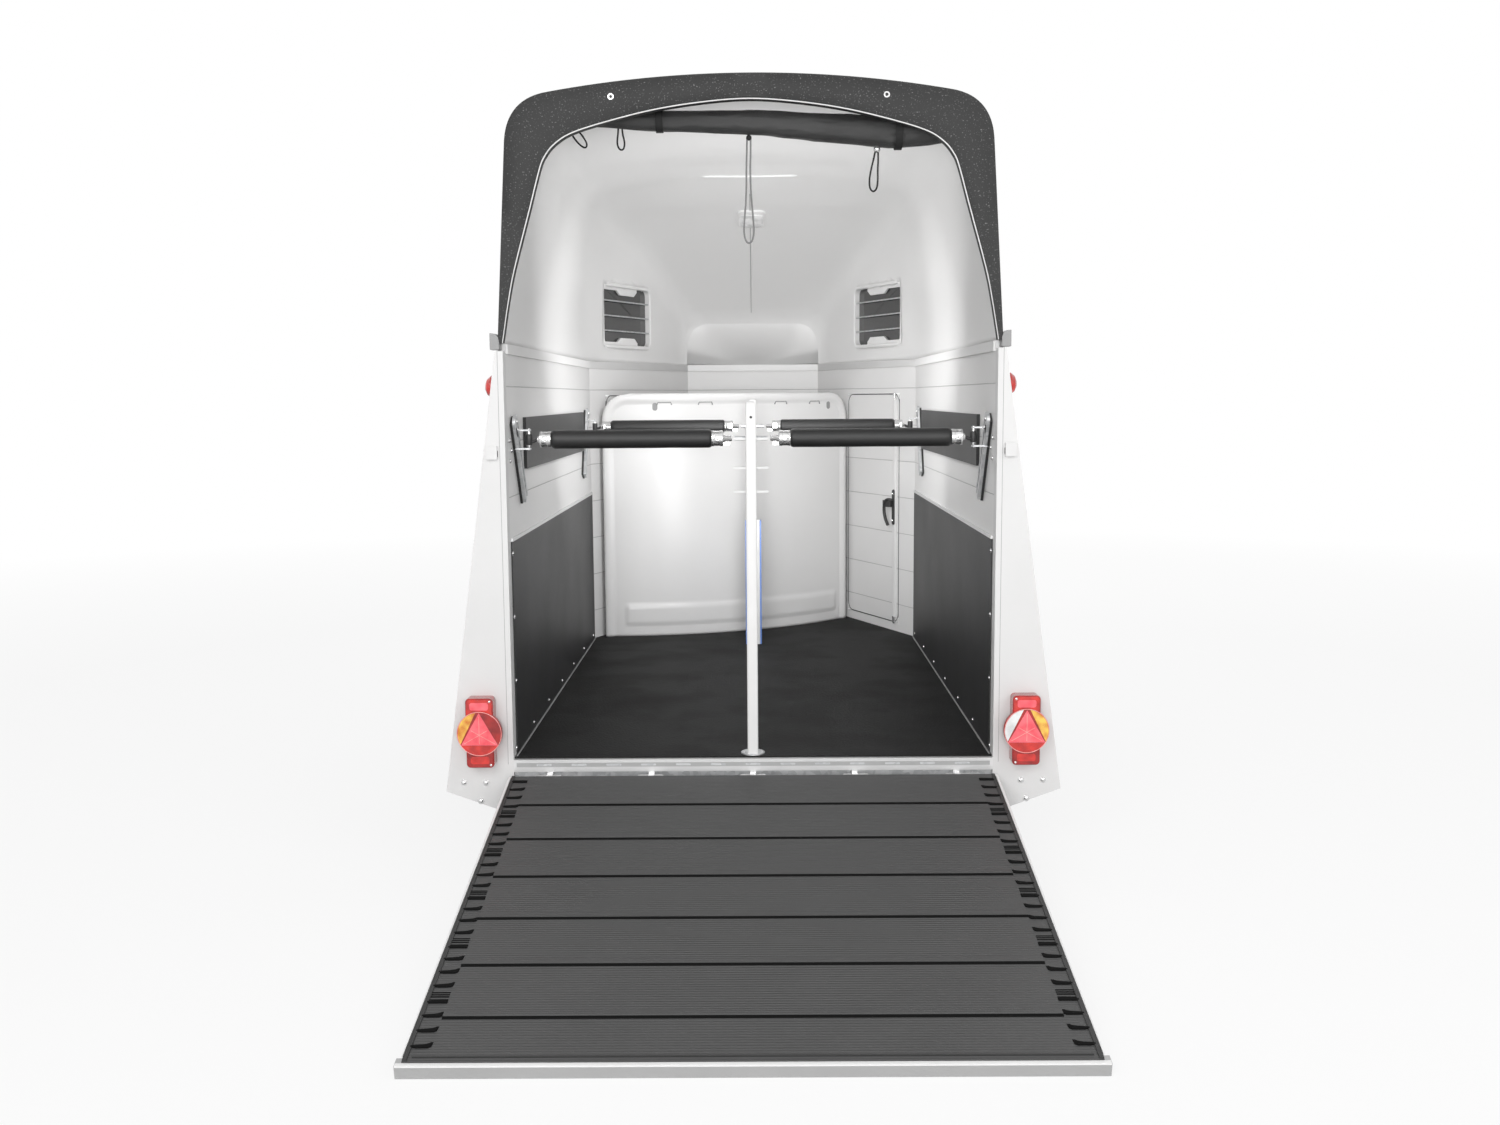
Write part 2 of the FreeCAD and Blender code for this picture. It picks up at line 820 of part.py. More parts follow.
# Ramp, drawn level behind its hinge axis and then tilted onto the ground
def ramp_deck():
    depth = "ramp_over + ramp_under"
    pieces = [beam(("ramp_width", "ramp_len - ramp_start", depth), (0, "-ramp_len", "-ramp_under")),
              beam(("toe_width", "toe_depth", depth), (0, "-ramp_len", "-ramp_under"))]
    holes = []
    for spot in HINGE_SPOTS:
        for side in (-1, 1):
            middle = f"({spot} + {side} * (lug_width / 2 + knuckle_gap + knuckle_len / 2))"
            low = f"{middle} - knuckle_len / 2"
            pieces.append(rod("knuckle_dia", "knuckle_len", (low, 0, 0), "x"))
            pieces.append(beam(("knuckle_len", "ramp_start + knuckle_bite", "knuckle_dia / 2"),
                               (middle, "-ramp_start - knuckle_bite", "-knuckle_dia / 2")))
            holes.append(rod("hinge_pin_dia + 2 * seat_gap", "knuckle_len + 2 * knuckle_bite",
                             (f"{low} - knuckle_bite", 0, 0), "x"))
    deck = cut(fuse(*pieces), *holes)
    return place(deck, (0, "hinge_station", "hinge_height"), (1, 0, 0), "ramp_angle")


def ramp_mat():
    length = "ramp_len - ramp_start - toe_depth - 2 * ramp_mat_gap"
    mat = beam(("ramp_width - 2 * ramp_edge", length, "ramp_mat_thick"),
               (0, "-ramp_len + toe_depth + ramp_mat_gap", "ramp_over"))
    return place(group(mat), (0, "hinge_station", "hinge_height"), (1, 0, 0), "ramp_angle")


node("ramp_deck", ramp_deck())
node("ramp_mat", ramp_mat())


# Rear lamps and side markers
def rear_lamp():
    back = "-pillar_back - lamp_depth"
    body = beam(("lamp_width", "lamp_depth", "lamp_height"),
                ("lamp_offset", back, "lamp_z - lamp_height / 2"))
    disc = rod("lamp_disc_dia", "lamp_depth + lamp_disc_out",
               ("lamp_offset", f"{back} - lamp_disc_out", "lamp_z"), "y")
    return fuse(body, disc)


# The dome's profile as shares of its depth and radius
MARKER_PROFILE = ((0, 0), (0, 1), (0.33, 1), (0.8, 0.7), (1, 0.36), (1, 0))


def marker_lamp():
    station = "pillar_depth + marker_back"
    profile = [(f"marker_depth * {out}", f"marker_dia / 2 * {radius}") for out, radius in MARKER_PROFILE]
    dome = spun(profile, ("outer_half + marker_stem_out", station, "floor_top + marker_rise"))
    stem = beam(("marker_stem_out", "marker_stem_width", "marker_stem_height"),
                ("outer_half + marker_stem_out / 2", f"{station} - marker_stem_width / 2",
                 "floor_top + marker_rise - marker_stem_height / 2"))
    return fuse(dome, stem)


node("rear_lamps", both_sides(rear_lamp()))
node("marker_lamps", both_sides(marker_lamp()))


# Outlines with arcs, shared by the rear frame and the hood
def arch(base_half, base, lean, corner, rise, crown):
    """A closed outline across the trailer: leaning sides, round corners and a crowned top."""
    tilt = math.radians(lean)
    crown_middle = Vector(0, 0, rise - crown)
    side_normal = Vector(math.cos(tilt), 0, math.sin(tilt))
    side_way = Vector(-math.sin(tilt), 0, math.cos(tilt))
    start = Vector(base_half, 0, base) - side_normal * corner
    offset = start - crown_middle
    along = offset.dot(side_way)
    spare = offset.dot(offset) - (crown - corner) ** 2
    middle = start + side_way * (math.sqrt(along * along - spare) - along)
    crown_normal = (middle - crown_middle).normalize()
    half_way = (side_normal + crown_normal).normalize()
    right = [Vector(base_half, 0, base), middle + side_normal * corner,
             middle + half_way * corner, middle + crown_normal * corner]
    left = [Vector(-spot.x, 0, spot.z) for spot in right]
    edges = [Part.LineSegment(right[0], right[1]), Part.Arc(right[1], right[2], right[3]),
             Part.Arc(right[3], Vector(0, 0, rise), left[3]), Part.Arc(left[3], left[2], left[1]),
             Part.LineSegment(left[1], left[0]), Part.LineSegment(left[0], right[0])]
    return Part.Face(Part.Wire([edge.toShape() for edge in edges]))


def hood_arch(inset):
    return arch(amount("hood_base_half") - inset, amount("wall_top"), amount("hood_lean"),
                amount("hood_corner") - inset, amount("floor_top + hood_rise") - inset,
                amount("hood_crown") - inset)


def hood_solid(inset):
    """The space under the hood's surface, pulled in by an inset: an arch cut by a plan and a side view."""
    start = amount("body_start")
    front = amount("nose_station + wall_thick") - inset
    base = amount("wall_top")
    # the side view's top line runs a little over the crown, so that the two never just touch
    top = amount("floor_top + hood_rise + brow_over")
    arch_bar = hood_arch(inset).extrude(Vector(0, front - start, 0))
    arch_bar.translate(Vector(0, start, 0))
    slant = math.radians(amount("slant"))
    side = amount("outer_half") - inset
    corner = amount("side_len + side_miter") - inset * math.tan(slant / 2)
    nose = amount("nose_half + nose_miter") - inset * math.tan(math.pi / 4 - slant / 2)
    right = [Vector(side, start, base), Vector(side, corner, base), Vector(nose, front, base)]
    left = [Vector(-spot.x, spot.y, spot.z) for spot in right[::-1]]
    plan_bar = Part.Face(Part.makePolygon(right + left + right[:1])).extrude(Vector(0, 0, top - base))
    radius = amount("brow_radius") - inset
    brow_middle = Vector(0, amount("brow_station"), top - amount("brow_radius"))
    turn = math.asin((front - brow_middle.y) / radius)
    brow = [brow_middle + Vector(0, math.sin(angle), math.cos(angle)) * radius
            for angle in (0, turn / 2, turn)]
    low = Vector(0, start, base)
    high = Vector(0, start, brow[0].z)
    toe = Vector(0, front, base)
    edges = [Part.LineSegment(low, high), Part.LineSegment(high, brow[0]), Part.Arc(*brow),
             Part.LineSegment(brow[2], toe), Part.LineSegment(toe, low)]
    side_face = Part.Face(Part.Wire([edge.toShape() for edge in edges]))
    side_face.translate(Vector(-side, 0, 0))
    side_bar = side_face.extrude(Vector(2 * side, 0, 0))
    return arch_bar.common(plan_bar).common(side_bar)


def window_hole(side):
    size = ("window_width", "hood_lean_room", "window_height")
    return slanted_block(size, "window_start", "-hood_lean_room / 2", "window_low", side)


def hood():
    shell = formed(hood_solid(0).cut(hood_solid(amount("hood_thick"))).removeSplitter())
    return cut(shell, window_hole(-1), window_hole(1))


def rear_frame():
    inner = arch(amount("band_base_half"), amount("wall_top"), amount("band_lean"), amount("band_corner"),
                 amount("floor_top + band_rise"), amount("band_crown"))
    band = hood_arch(0).cut(inner).extrude(Vector(0, amount("band_depth"), 0))
    band.translate(Vector(0, -amount("pillar_back"), 0))
    return group(formed(band))


node("hood", hood())
node("rear_frame", rear_frame())


# Windows in the hood's angled faces
def window_inside(thick, out, side):
    """A block that fills the window inside its frame."""
    size = ("window_width - 2 * window_frame", thick, "window_height - 2 * window_frame")
    return slanted_block(size, "window_start + window_frame", out, "window_low + window_frame", side)


def window_ring(side):
    size = ("window_width + 2 * window_lip", "window_ring", "window_height + 2 * window_lip")
    outer = slanted_block(size, "window_start - window_lip", "wall_thick", "window_low - window_lip", side)
    return cut(outer, window_inside("window_ring + 2 * cut_spare", "wall_thick - cut_spare", side))


def window_pane(side):
    return window_inside("pane_thick", "wall_thick + pane_set", side)


node("window_frames", group(window_ring(-1), window_ring(1)))
node("window_glass", group(window_pane(-1), window_pane(1)))


# Posts with hook plates, and an arm that reaches the tips of the bars
def post_arm(start, length, bar_station):
    arm = beam(("arm_beam_width", length, "arm_beam_height"), (0, start, "bar_z - arm_beam_height / 2"))
    tips = beam(("2 * (bar_tip - arm_tip_gap)", "arm_beam_width", "arm_beam_height"),
                (0, f"{bar_station} - arm_beam_width / 2", "bar_z - arm_beam_height / 2"))
    return arm, tips


def rear_post():
    middle = "(post_width / 2 + post_set)"
    pieces = [rod("post_foot_dia", "post_foot_thick", (0, "post_foot_dia / 2 + knuckle_gap", "floor_top")),
              beam(("post_width", "post_width", "post_height"), (0, "post_set", "floor_top"))]
    for drop in (0, "hook_drop", "low_hook_drop"):
        pieces.append(beam(("hook_span", "hook_width", "hook_thick"),
                           (0, f"{middle} - hook_width / 2", f"bar_z - {drop} - hook_thick / 2")))
    pieces += post_arm(middle, f"rear_bar_station - {middle}", "rear_bar_station")
    return fuse(*pieces)


def front_post():
    low = "front_post_station - post_width / 2"
    shaft = beam(("post_width", "post_width", "post_height"), (0, low, "floor_top"))
    sleeve = beam(("2 * post_width", "post_width + 2 * sleeve_over", "bar_height - sleeve_below"),
                  (0, f"{low} - sleeve_over", "floor_top"))
    arm = post_arm("front_bar_station", "front_post_station - front_bar_station", "front_bar_station")
    return fuse(shaft, sleeve, *arm)


# Kick panels and pads on the side walls
def kick_panel():
    return beam(("kick_thick", "side_len - body_start - 2 * kick_gap", "bar_height - kick_below"),
                ("half - kick_thick / 2", "body_start + kick_gap", "floor_top"))


def wall_pad():
    return beam(("wall_pad_thick", "side_len - wall_pad_start - wall_pad_end_gap", "wall_pad_height"),
                ("half - wall_pad_thick / 2", "wall_pad_start", "bar_z - wall_pad_below"))


def bar_bracket(station, lean):
    """A leaning strip on the wall with two lugs that hold an upright pin for the bar's eye."""
    strip = block(("bracket_thick", "bracket_width", "bracket_up + bracket_down"),
                  ("half - bracket_thick",
                   f"{station} - bracket_width / 2 * cos({lean}) + bracket_down * sin({lean})",
                   f"bar_z - bracket_width / 2 * sin({lean}) - bracket_down * cos({lean})"),
                  (1, 0, 0), lean)
    pin = rod("pin_dia", "bracket_pin_len", ("bar_pivot", station, "bar_z - bracket_pin_len / 2"))
    reach = "(half - bar_pivot + bracket_lug_reach)"
    lugs = [beam((reach, "bracket_lug_width", "bracket_lug_thick"),
                 (f"half - {reach} / 2", f"{station} - bracket_lug_width / 2", level))
            for level in ("bar_z - bracket_pin_len / 2",
                          "bar_z + bracket_pin_len / 2 - bracket_lug_thick")]
    return fuse(strip, pin, *lugs)


BARS = {"rear": ("rear_bar_station", "rear_bracket_lean"),
        "front": ("front_bar_station", "(-front_bracket_lean)")}
node("rear_post", rear_post())
node("front_post", front_post())
node("kick_panels", both_sides(kick_panel()))
node("wall_pads", both_sides(wall_pad()))
node("bar_brackets", group(*[both_sides(bar_bracket(station, lean)) for station, lean in BARS.values()]))


# Padded bars: a tube with an eye round the bracket's pin, a collar at each end and a foam sleeve
def along_bar(dia, start, end, side, station):
    """A round piece of a bar between two distances from the trailer's middle."""
    low = start if side > 0 else f"-({end})"
    return rod(dia, f"({end}) - ({start})", (low, station, "bar_z"), "x")


def bar(side, station):
    pivot = f"{side} * bar_pivot"
    eye = rod("eye_dia", "eye_height", (pivot, station, "bar_z - eye_height / 2"))
    tube = along_bar("bar_dia", "bar_tip", "bar_pivot - eye_dia / 2 + eye_bite", side, station)
    collars = [along_bar("collar_dia", "pad_start - collar_len", "pad_start", side, station),
               along_bar("collar_dia", "pad_end", "pad_end + collar_len", side, station)]
    hole = rod("pin_dia + 2 * seat_gap", "bracket_pin_len", (pivot, station, "bar_z - bracket_pin_len / 2"))
    return cut(fuse(eye, tube, *collars), hole)


def bar_pad(side, station):
    outer = along_bar("pad_dia", "pad_start", "pad_end", side, station)
    inner = along_bar("bar_dia", "pad_start", "pad_end", side, station)
    return cut(outer, inner)


for side_name, side in (("left", -1), ("right", 1)):
    for end, (station, lean) in BARS.items():
        node(f"{side_name}_{end}_bar", bar(side, station))
        node(f"{side_name}_{end}_bar_pad", bar_pad(side, station))


# Tack panel: a moulded wall curved in plan
def tack_panel():
    spots = [Vector(amount(x), amount(f"side_len + {gap}"), amount("floor_top"))
             for x, gap in (("-tack_left", "tack_left_gap"), ("-tack_middle", "tack_middle_gap"),
                            ("tack_right", "tack_right_gap"))]
    rear = Part.Arc(*spots)
    circle = rear.toShape().Curve
    inner = circle.Radius - amount("tack_thick")
    front = [circle.Center + (spot - circle.Center).normalize() * inner for spot in spots]
    edges = [rear, Part.LineSegment(spots[2], front[2]), Part.Arc(front[2], front[1], front[0]),
             Part.LineSegment(front[0], spots[0])]
    face = Part.Face(Part.Wire([edge.toShape() for edge in edges]))
    return group(formed(face.extrude(Vector(0, 0, amount("tack_height")))))


node("tack_panel", tack_panel())


# Rolled tarp under the roof: its left end is strapped up against the hood
def tarp_roll():
    left = amount("roll_left")
    roof = amount("hood_crown - hood_thick")
    roof_rise = amount("hood_rise - hood_thick - seat_gap") - roof + math.sqrt(roof ** 2 - left ** 2)
    left_low = amount("roll_left_low")
    rings = [(-left, (roof_rise + left_low) / 2, (roof_rise - left_low) / 2)]
    for x, rise, dia in ((0, "roll_middle_rise", "roll_middle_dia"),
                         ("roll_right", "roll_right_rise", "roll_right_dia"),
                         ("roll_end", "roll_end_rise", "roll_end_dia")):
        rings.append((amount(x), amount(rise), amount(dia) / 2))
    station = amount("roll_station")
    floor = amount("floor_top")
    wires = [Part.Wire(Part.makeCircle(radius, Vector(x, station, floor + rise), Vector(1, 0, 0)))
             for x, rise, radius in rings]
    return group(formed(Part.makeLoft(wires, True, True)))


node("tarp_roll", tarp_roll())

# Elastic loops that hang from the roll: x and height above the floor, down one strand and up the other
LOOPS = {
    1: [(-604, 2142), (-601, 2126), (-594, 2109), (-581, 2091), (-565, 2075), (-551, 2069),
        (-545, 2080), (-554, 2099), (-569, 2119), (-582, 2131), (-588, 2141)],
    2: [(-440, 2132), (-441, 2114), (-444, 2096), (-444, 2078), (-437, 2063), (-424, 2062),
        (-419, 2079), (-421, 2096), (-426, 2114), (-427, 2131)],
    3: [(-7, 2099), (-8, 2056), (-10, 2001), (-10, 1945), (-12, 1886), (-18, 1828), (-20, 1782), (-11, 1752),
        (5, 1751), (15, 1779), (13, 1826), (7, 1886), (4, 1945), (3, 2001), (5, 2056), (5, 2099)],
    4: [(425, 2055), (419, 2024), (410, 1990), (405, 1958), (406, 1930), (418, 1917),
        (431, 1928), (434, 1958), (433, 1990), (435, 2024), (434, 2055)],
}
# The share of the shorter run that each bend of a loop takes up
BEND_SHARE = 0.45


def loop_tube(number):
    """A round cord along straight runs joined by tangent arcs, as large as the runs allow."""
    floor = amount("floor_top")
    station = amount("loop_station")
    spots = [Vector(x, station, floor + rise) for x, rise in LOOPS[number]]
    edges = []
    last = spots[0]
    radii = []
    for before, spot, after in zip(spots, spots[1:], spots[2:]):
        back = before - spot
        ahead = after - spot
        half_turn = (math.pi - back.getAngle(ahead)) / 2
        reach = BEND_SHARE * min(back.Length, ahead.Length)
        radius = reach / math.tan(half_turn)
        radii.append(round(radius))
        back.normalize()
        ahead.normalize()
        inward = (back + ahead).normalize()
        start = spot + back * reach
        end = spot + ahead * reach
        middle = spot + inward * radius * (1 / math.cos(half_turn) - 1)
        edges.append(Part.LineSegment(last, start))
        edges.append(Part.Arc(start, middle, end))
        last = end
    edges.append(Part.LineSegment(last, spots[-1]))
    path = Part.Wire([edge.toShape() for edge in edges])
    dia = amount("loop_dia")
    ring = Part.Wire(Part.makeCircle(dia / 2, spots[0], spots[1] - spots[0]))
    tube = path.makePipeShell([ring], True, False)
    print("loop", number, "radii", radii, "length", round(path.Length),
          "volume ratio", round(tube.Volume / path.Length / (math.pi * dia ** 2 / 4), 3))
    return group(formed(tube))


for number in LOOPS:
    node(f"tarp_loop_{number}", loop_tube(number))


# Overrun housing on the drawbar, its bellows and the ball coupling
def overrun_housing():
    plate = beam(("foot_plate_width", "foot_plate_len", "foot_plate_thick"),
                 (0, "housing_start", "chassis_top"))
    body = beam(("housing_width", "housing_len", "ball_height - chassis_top + housing_over"),
                (0, "housing_start", "chassis_top"))
    return fuse(plate, body)


BELLOWS_FOLDS = 5


def overrun_bellows():
    valley = "bellows_dia / 2 - bellows_fold"
    points = [(0, "shaft_dia / 2")]
    for index in range(BELLOWS_FOLDS):
        points.append((f"bellows_len * {index} / {BELLOWS_FOLDS}", valley))
        points.append((f"bellows_len * {index + 0.5} / {BELLOWS_FOLDS}", "bellows_dia / 2"))
    points += [("bellows_len", valley), ("bellows_len", "shaft_dia / 2")]
    return spun(points, (0, "housing_end", "shaft_z"), (0, 0, 1), 90)


def ball_coupling():
    shaft = rod("shaft_dia", "ball_station - housing_end", (0, "housing_end", "shaft_z"), "y")
    neck = beam(("neck_width", "ball_station - housing_end - bellows_len", "neck_height"),
                (0, "housing_end + bellows_len", "ball_height - head_drop"))
    head = rod("head_dia", "head_height", (0, "ball_station", "ball_height - head_drop"))
    socket = rod("ball_dia", "socket_depth", (0, "ball_station", "ball_height - head_drop"))
    lever = beam(("lever_width", "lever_len", "lever_thick"),
                 (0, "ball_station - lever_back", "ball_height + lever_rise"))
    post = beam(("lever_post_width", "lever_post_len", "lever_post_height + lever_thick / 2"),
                (0, "ball_station - lever_post_back", "ball_height + lever_rise - lever_post_height"))
    return cut(fuse(shaft, neck, head, lever, post), socket)


def handbrake_lever():
    station = "apex_station - brake_back"
    side = "housing_width / 2 + brake_boss_len"
    low = "ball_height - shaft_drop"
    boss = rod("brake_boss_dia", "brake_boss_len",
               (f"-({side})", station, "ball_height - shaft_drop / 2"), "x")
    arm = block(("brake_arm_thick", "brake_arm_len", "brake_arm_width"),
                (f"brake_arm_thick / 2 - ({side})", station, low), (1, 0, 0), "brake_angle")
    middle = f"brake_arm_thick - ({side})"
    grip = block(("brake_grip_thick", "brake_grip_len", "brake_grip_width"),
                 (f"{middle} - brake_grip_thick / 2", f"{station} + brake_start * cos(brake_angle)",
                  f"{low} + brake_start * sin(brake_angle)"), (1, 0, 0), "brake_angle")
    return fuse(boss, arm, grip)


node("overrun_housing", overrun_housing())
node("overrun_bellows", overrun_bellows())
node("ball_coupling", ball_coupling())
node("handbrake_lever", handbrake_lever())


# Jockey wheel: tube and clamp, sliding leg, turning fork and wheel
def on_jack(z):
    return "jack_offset", "jack_station", z


def jack_tube():
    outer = rod("jack_tube_dia", "jack_top - tube_bottom", on_jack("tube_bottom"))
    bore = rod("jack_leg_dia + 2 * seat_gap", "jack_top - tube_bottom - jack_cap", on_jack("tube_bottom"))
    clamp = beam(("jack_offset - housing_width / 2", "clamp_len", "clamp_height"),
                 ("(jack_offset + housing_width / 2) / 2", "jack_station - clamp_len / 2",
                  "ball_height - clamp_len"))
    crank = beam(("crank_len", "crank_size", "crank_size"),
                 ("jack_offset - crank_len / 2 + crank_size", "jack_station - crank_size / 2",
                  "jack_top - jack_cap / 2"))
    knob = rod("knob_dia", "knob_height",
               ("jack_offset - crank_len + crank_size + knob_dia / 2", "jack_station",
                "jack_top + jack_cap / 2"))
    return cut(fuse(outer, clamp, crank, knob), bore)


def jack_leg():
    leg = rod("jack_leg_dia", "jack_top - jack_travel - leg_end_gap - leg_bottom", on_jack("leg_bottom"))
    return cut(leg, rod("stub_dia + 2 * seat_gap", "stub_len", on_jack("leg_bottom")))


def jockey_fork():
    low = "fork_top - fork_thick"
    width = "jockey_width + 2 * (fork_gap + fork_plate / 2)"
    pieces = [rod("stub_dia", "stub_len", on_jack(low)),
              beam((width, "fork_len", "fork_thick"), ("jack_offset", "jack_station - fork_back", low)),
              rod("jockey_pin_dia", width,
                  (f"jack_offset - ({width}) / 2", "jockey_station", "jockey_dia / 2"), "x")]
    for side in (-1, 1):
        pieces.append(beam(("fork_plate", "fork_width", "fork_top - jockey_dia / 2 + fork_over"),
                           (f"jack_offset + {side} * (jockey_width / 2 + fork_gap)",
                            "jockey_station - fork_width / 2", "jockey_dia / 2 - fork_over")))
    return fuse(*pieces)


def jockey_wheel():
    width = "jockey_width / 2"
    radius = "jockey_dia / 2"
    bore = "(jockey_pin_dia / 2 + running_gap)"
    points = [(f"-{width}", bore), (f"-{width}", f"{radius} - jockey_shoulder"),
              (f"-{width} + jockey_shoulder", radius), (f"{width} - jockey_shoulder", radius),
              (width, f"{radius} - jockey_shoulder"), (width, bore)]
    return spun(points, ("jack_offset", "jockey_station", radius))


node("jack_tube", jack_tube())
node("jack_leg", jack_leg())
node("jockey_fork", jockey_fork())
node("jockey_wheel", jockey_wheel())

# Check everything, then write one file for each sub-part
doc.recompute()
for thing in doc.Objects:
    faults = {"Invalid", "Error"} & set(thing.State)
    if faults:
        raise RuntimeError(f"{thing.Name} ({thing.Label}) is {faults}")
for name, thing in nodes.items():
    shape = thing.Shape
    if shape.isNull() or not shape.isValid() or not shape.Solids:
        raise RuntimeError(f"{name} has no valid shape")
for name, thing in nodes.items():
    thing.Shape.exportStep(f"parts/{name}.step")
print(len(nodes), "nodes")
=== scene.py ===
import json
import math

import bmesh
import bpy
from mathutils import Matrix, Vector, noise


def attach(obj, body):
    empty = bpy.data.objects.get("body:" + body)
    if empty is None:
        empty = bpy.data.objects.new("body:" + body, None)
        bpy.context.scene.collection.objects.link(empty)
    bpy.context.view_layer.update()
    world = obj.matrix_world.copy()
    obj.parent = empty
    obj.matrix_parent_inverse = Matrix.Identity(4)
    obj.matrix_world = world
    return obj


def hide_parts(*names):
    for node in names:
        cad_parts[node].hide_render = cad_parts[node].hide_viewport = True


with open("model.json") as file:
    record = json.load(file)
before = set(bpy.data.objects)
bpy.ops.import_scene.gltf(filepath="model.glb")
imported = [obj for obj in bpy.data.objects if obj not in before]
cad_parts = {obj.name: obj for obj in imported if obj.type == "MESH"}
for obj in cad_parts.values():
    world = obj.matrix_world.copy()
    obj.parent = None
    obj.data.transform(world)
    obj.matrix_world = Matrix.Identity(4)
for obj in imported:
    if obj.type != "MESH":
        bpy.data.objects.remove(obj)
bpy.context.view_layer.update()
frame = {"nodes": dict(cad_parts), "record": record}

# Places are in metres. Stations are distances forward of the rear plane, as in the part's source.
REAR = -1.45493
FLOOR = 0.37
HALF = 0.825
OUTER_HALF = 0.850
NOSE_HALF = 0.375
SIDE_LEN = 2.410
NOSE_STATION = 3.410
WALL_TOP = FLOOR + 1.417
SLANT = math.atan2(HALF - NOSE_HALF, NOSE_STATION - SIDE_LEN)
HINGE_STATION = -0.052
HINGE_Z = 0.307
RAMP_ANGLE = math.radians(10.5448)
SIDES = (-1, 1)
NAMED_SIDES = (("left", -1), ("right", 1))

# Where the coordinates of a piece are taken from
IN_STATIONS = Matrix.Translation((0, REAR, 0))
ON_RAMP = Matrix.Translation((0, REAR + HINGE_STATION, HINGE_Z)) @ Matrix.Rotation(RAMP_ANGLE, 4, "X")


# Materials: colour, roughness and relief all vary over the surface, from object coordinates
class Nodes:
    """A node tree, built up node by node."""

    def __init__(self, tree):
        self.tree = tree

    def node(self, kind, **settings):
        made = self.tree.nodes.new(kind)
        for name, value in settings.items():
            setattr(made, name, value)
        return made

    def link(self, source, target):
        if isinstance(source, bpy.types.NodeSocket):
            self.tree.links.new(source, target)
        else:
            target.default_value = source

    def wired(self, node, output, **inputs):
        """Links or sets the inputs of a node by name, and gives one of its outputs."""
        for name, value in inputs.items():
            self.link(value, node.inputs[name.replace("_", " ")])
        return node.outputs[output]

    def math(self, operation, *values):
        made = self.node("ShaderNodeMath", operation=operation)
        for value, socket in zip(values, made.inputs):
            self.link(value, socket)
        return made.outputs[0]


class Paint(Nodes):
    """One procedural material around a Principled shader."""

    def __init__(self, name, rough, metal=0.0):
        self.material = bpy.data.materials.new(name)
        self.material.use_nodes = True
        super().__init__(self.material.node_tree)
        self.shader = self.tree.nodes["Principled BSDF"]
        self.place = self.node("ShaderNodeTexCoord").outputs["Object"]
        self.relief = None
        self.settings(Metallic=metal, Roughness=rough)

    def noise(self, scale, detail=3.0, stretch=(1, 1, 1)):
        place = self.wired(self.node("ShaderNodeMapping"), "Vector", Vector=self.place, Scale=stretch)
        return self.wired(self.node("ShaderNodeTexNoise"), "Fac", Vector=place, Scale=scale, Detail=detail)

    def cells(self, scale, output="Distance"):
        return self.wired(self.node("ShaderNodeTexVoronoi"), output, Vector=self.place, Scale=scale)

    def axis(self, letter):
        return self.wired(self.node("ShaderNodeSeparateXYZ"), letter, Vector=self.place)

    def range(self, value, low, high, start=0.0, end=1.0):
        return self.wired(self.node("ShaderNodeMapRange"), "Result", Value=value,
                          From_Min=start, From_Max=end, To_Min=low, To_Max=high)

    def mix(self, share, first, second):
        return self.wired(self.node("ShaderNodeMix", data_type="RGBA"), "Result",
                          Factor=share, A=first, B=second)

    def settings(self, **values):
        self.wired(self.shader, "BSDF", **values)
        return self

    def colour(self, value):
        return self.settings(Base_Color=value)

    def rough(self, value, low, high):
        return self.settings(Roughness=self.range(value, low, high))

    def drifting(self, dark, light, scale, smooth, coarse):
        """Colour and roughness that drift together, each between two values."""
        drift = self.noise(scale, 4.0)
        self.colour(self.mix(drift, dark, light))
        return self.rough(drift, smooth, coarse)

    def bump(self, height, depth):
        """Relief that is depth metres high, on top of any relief from before."""
        inputs = {"Height": height, "Distance": depth, "Strength": 1.0}
        if self.relief is not None:
            inputs["Normal"] = self.relief
        self.relief = self.wired(self.node("ShaderNodeBump"), "Normal", **inputs)
        return self.settings(Normal=self.relief)


def tone(level, warm=0.0):
    """A grey, slightly warm or cool."""
    return level * (1 + warm), level, level * (1 - warm), 1.0


def plain_paint(name, dark, light, rough, scale=3.0, grain=160.0, depth=0.0002):
    """The usual finish: slow drift in colour, fine grain in the surface."""
    paint = Paint(name, rough).drifting(dark, light, scale, rough * 0.85, rough * 1.2)
    return paint.bump(paint.noise(grain, 2.0), depth)


def plain(*values, **settings):
    """The usual finish with settings of its own for the shader."""
    return plain_paint(*values).settings(**settings).material


def galvanised():
    paint = Paint("galvanised", 0.42, 0.62)
    crystal = paint.node("ShaderNodeSeparateColor")
    paint.link(paint.cells(60.0, "Color"), crystal.inputs[0])
    paint.colour(paint.mix(crystal.outputs[0], tone(0.50, -0.02), tone(0.68, -0.01)))
    paint.rough(crystal.outputs[1], 0.32, 0.52)
    return paint.bump(paint.noise(30.0), 0.0004).material


def brushed(name, level, rough, metal=0.6):
    """Mill-finished metal with fine lines along its length."""
    paint = Paint(name, rough, metal)
    lines = paint.noise(900.0, 2.0, (1, 0.02, 0.4))
    paint.colour(paint.mix(paint.noise(5.0), tone(level * 0.9), tone(level)))
    paint.rough(lines, rough * 0.8, rough * 1.25)
    return paint.bump(lines, 0.0001).material


PLANK_PITCH = 0.188
PLANK_START = FLOOR + 0.145


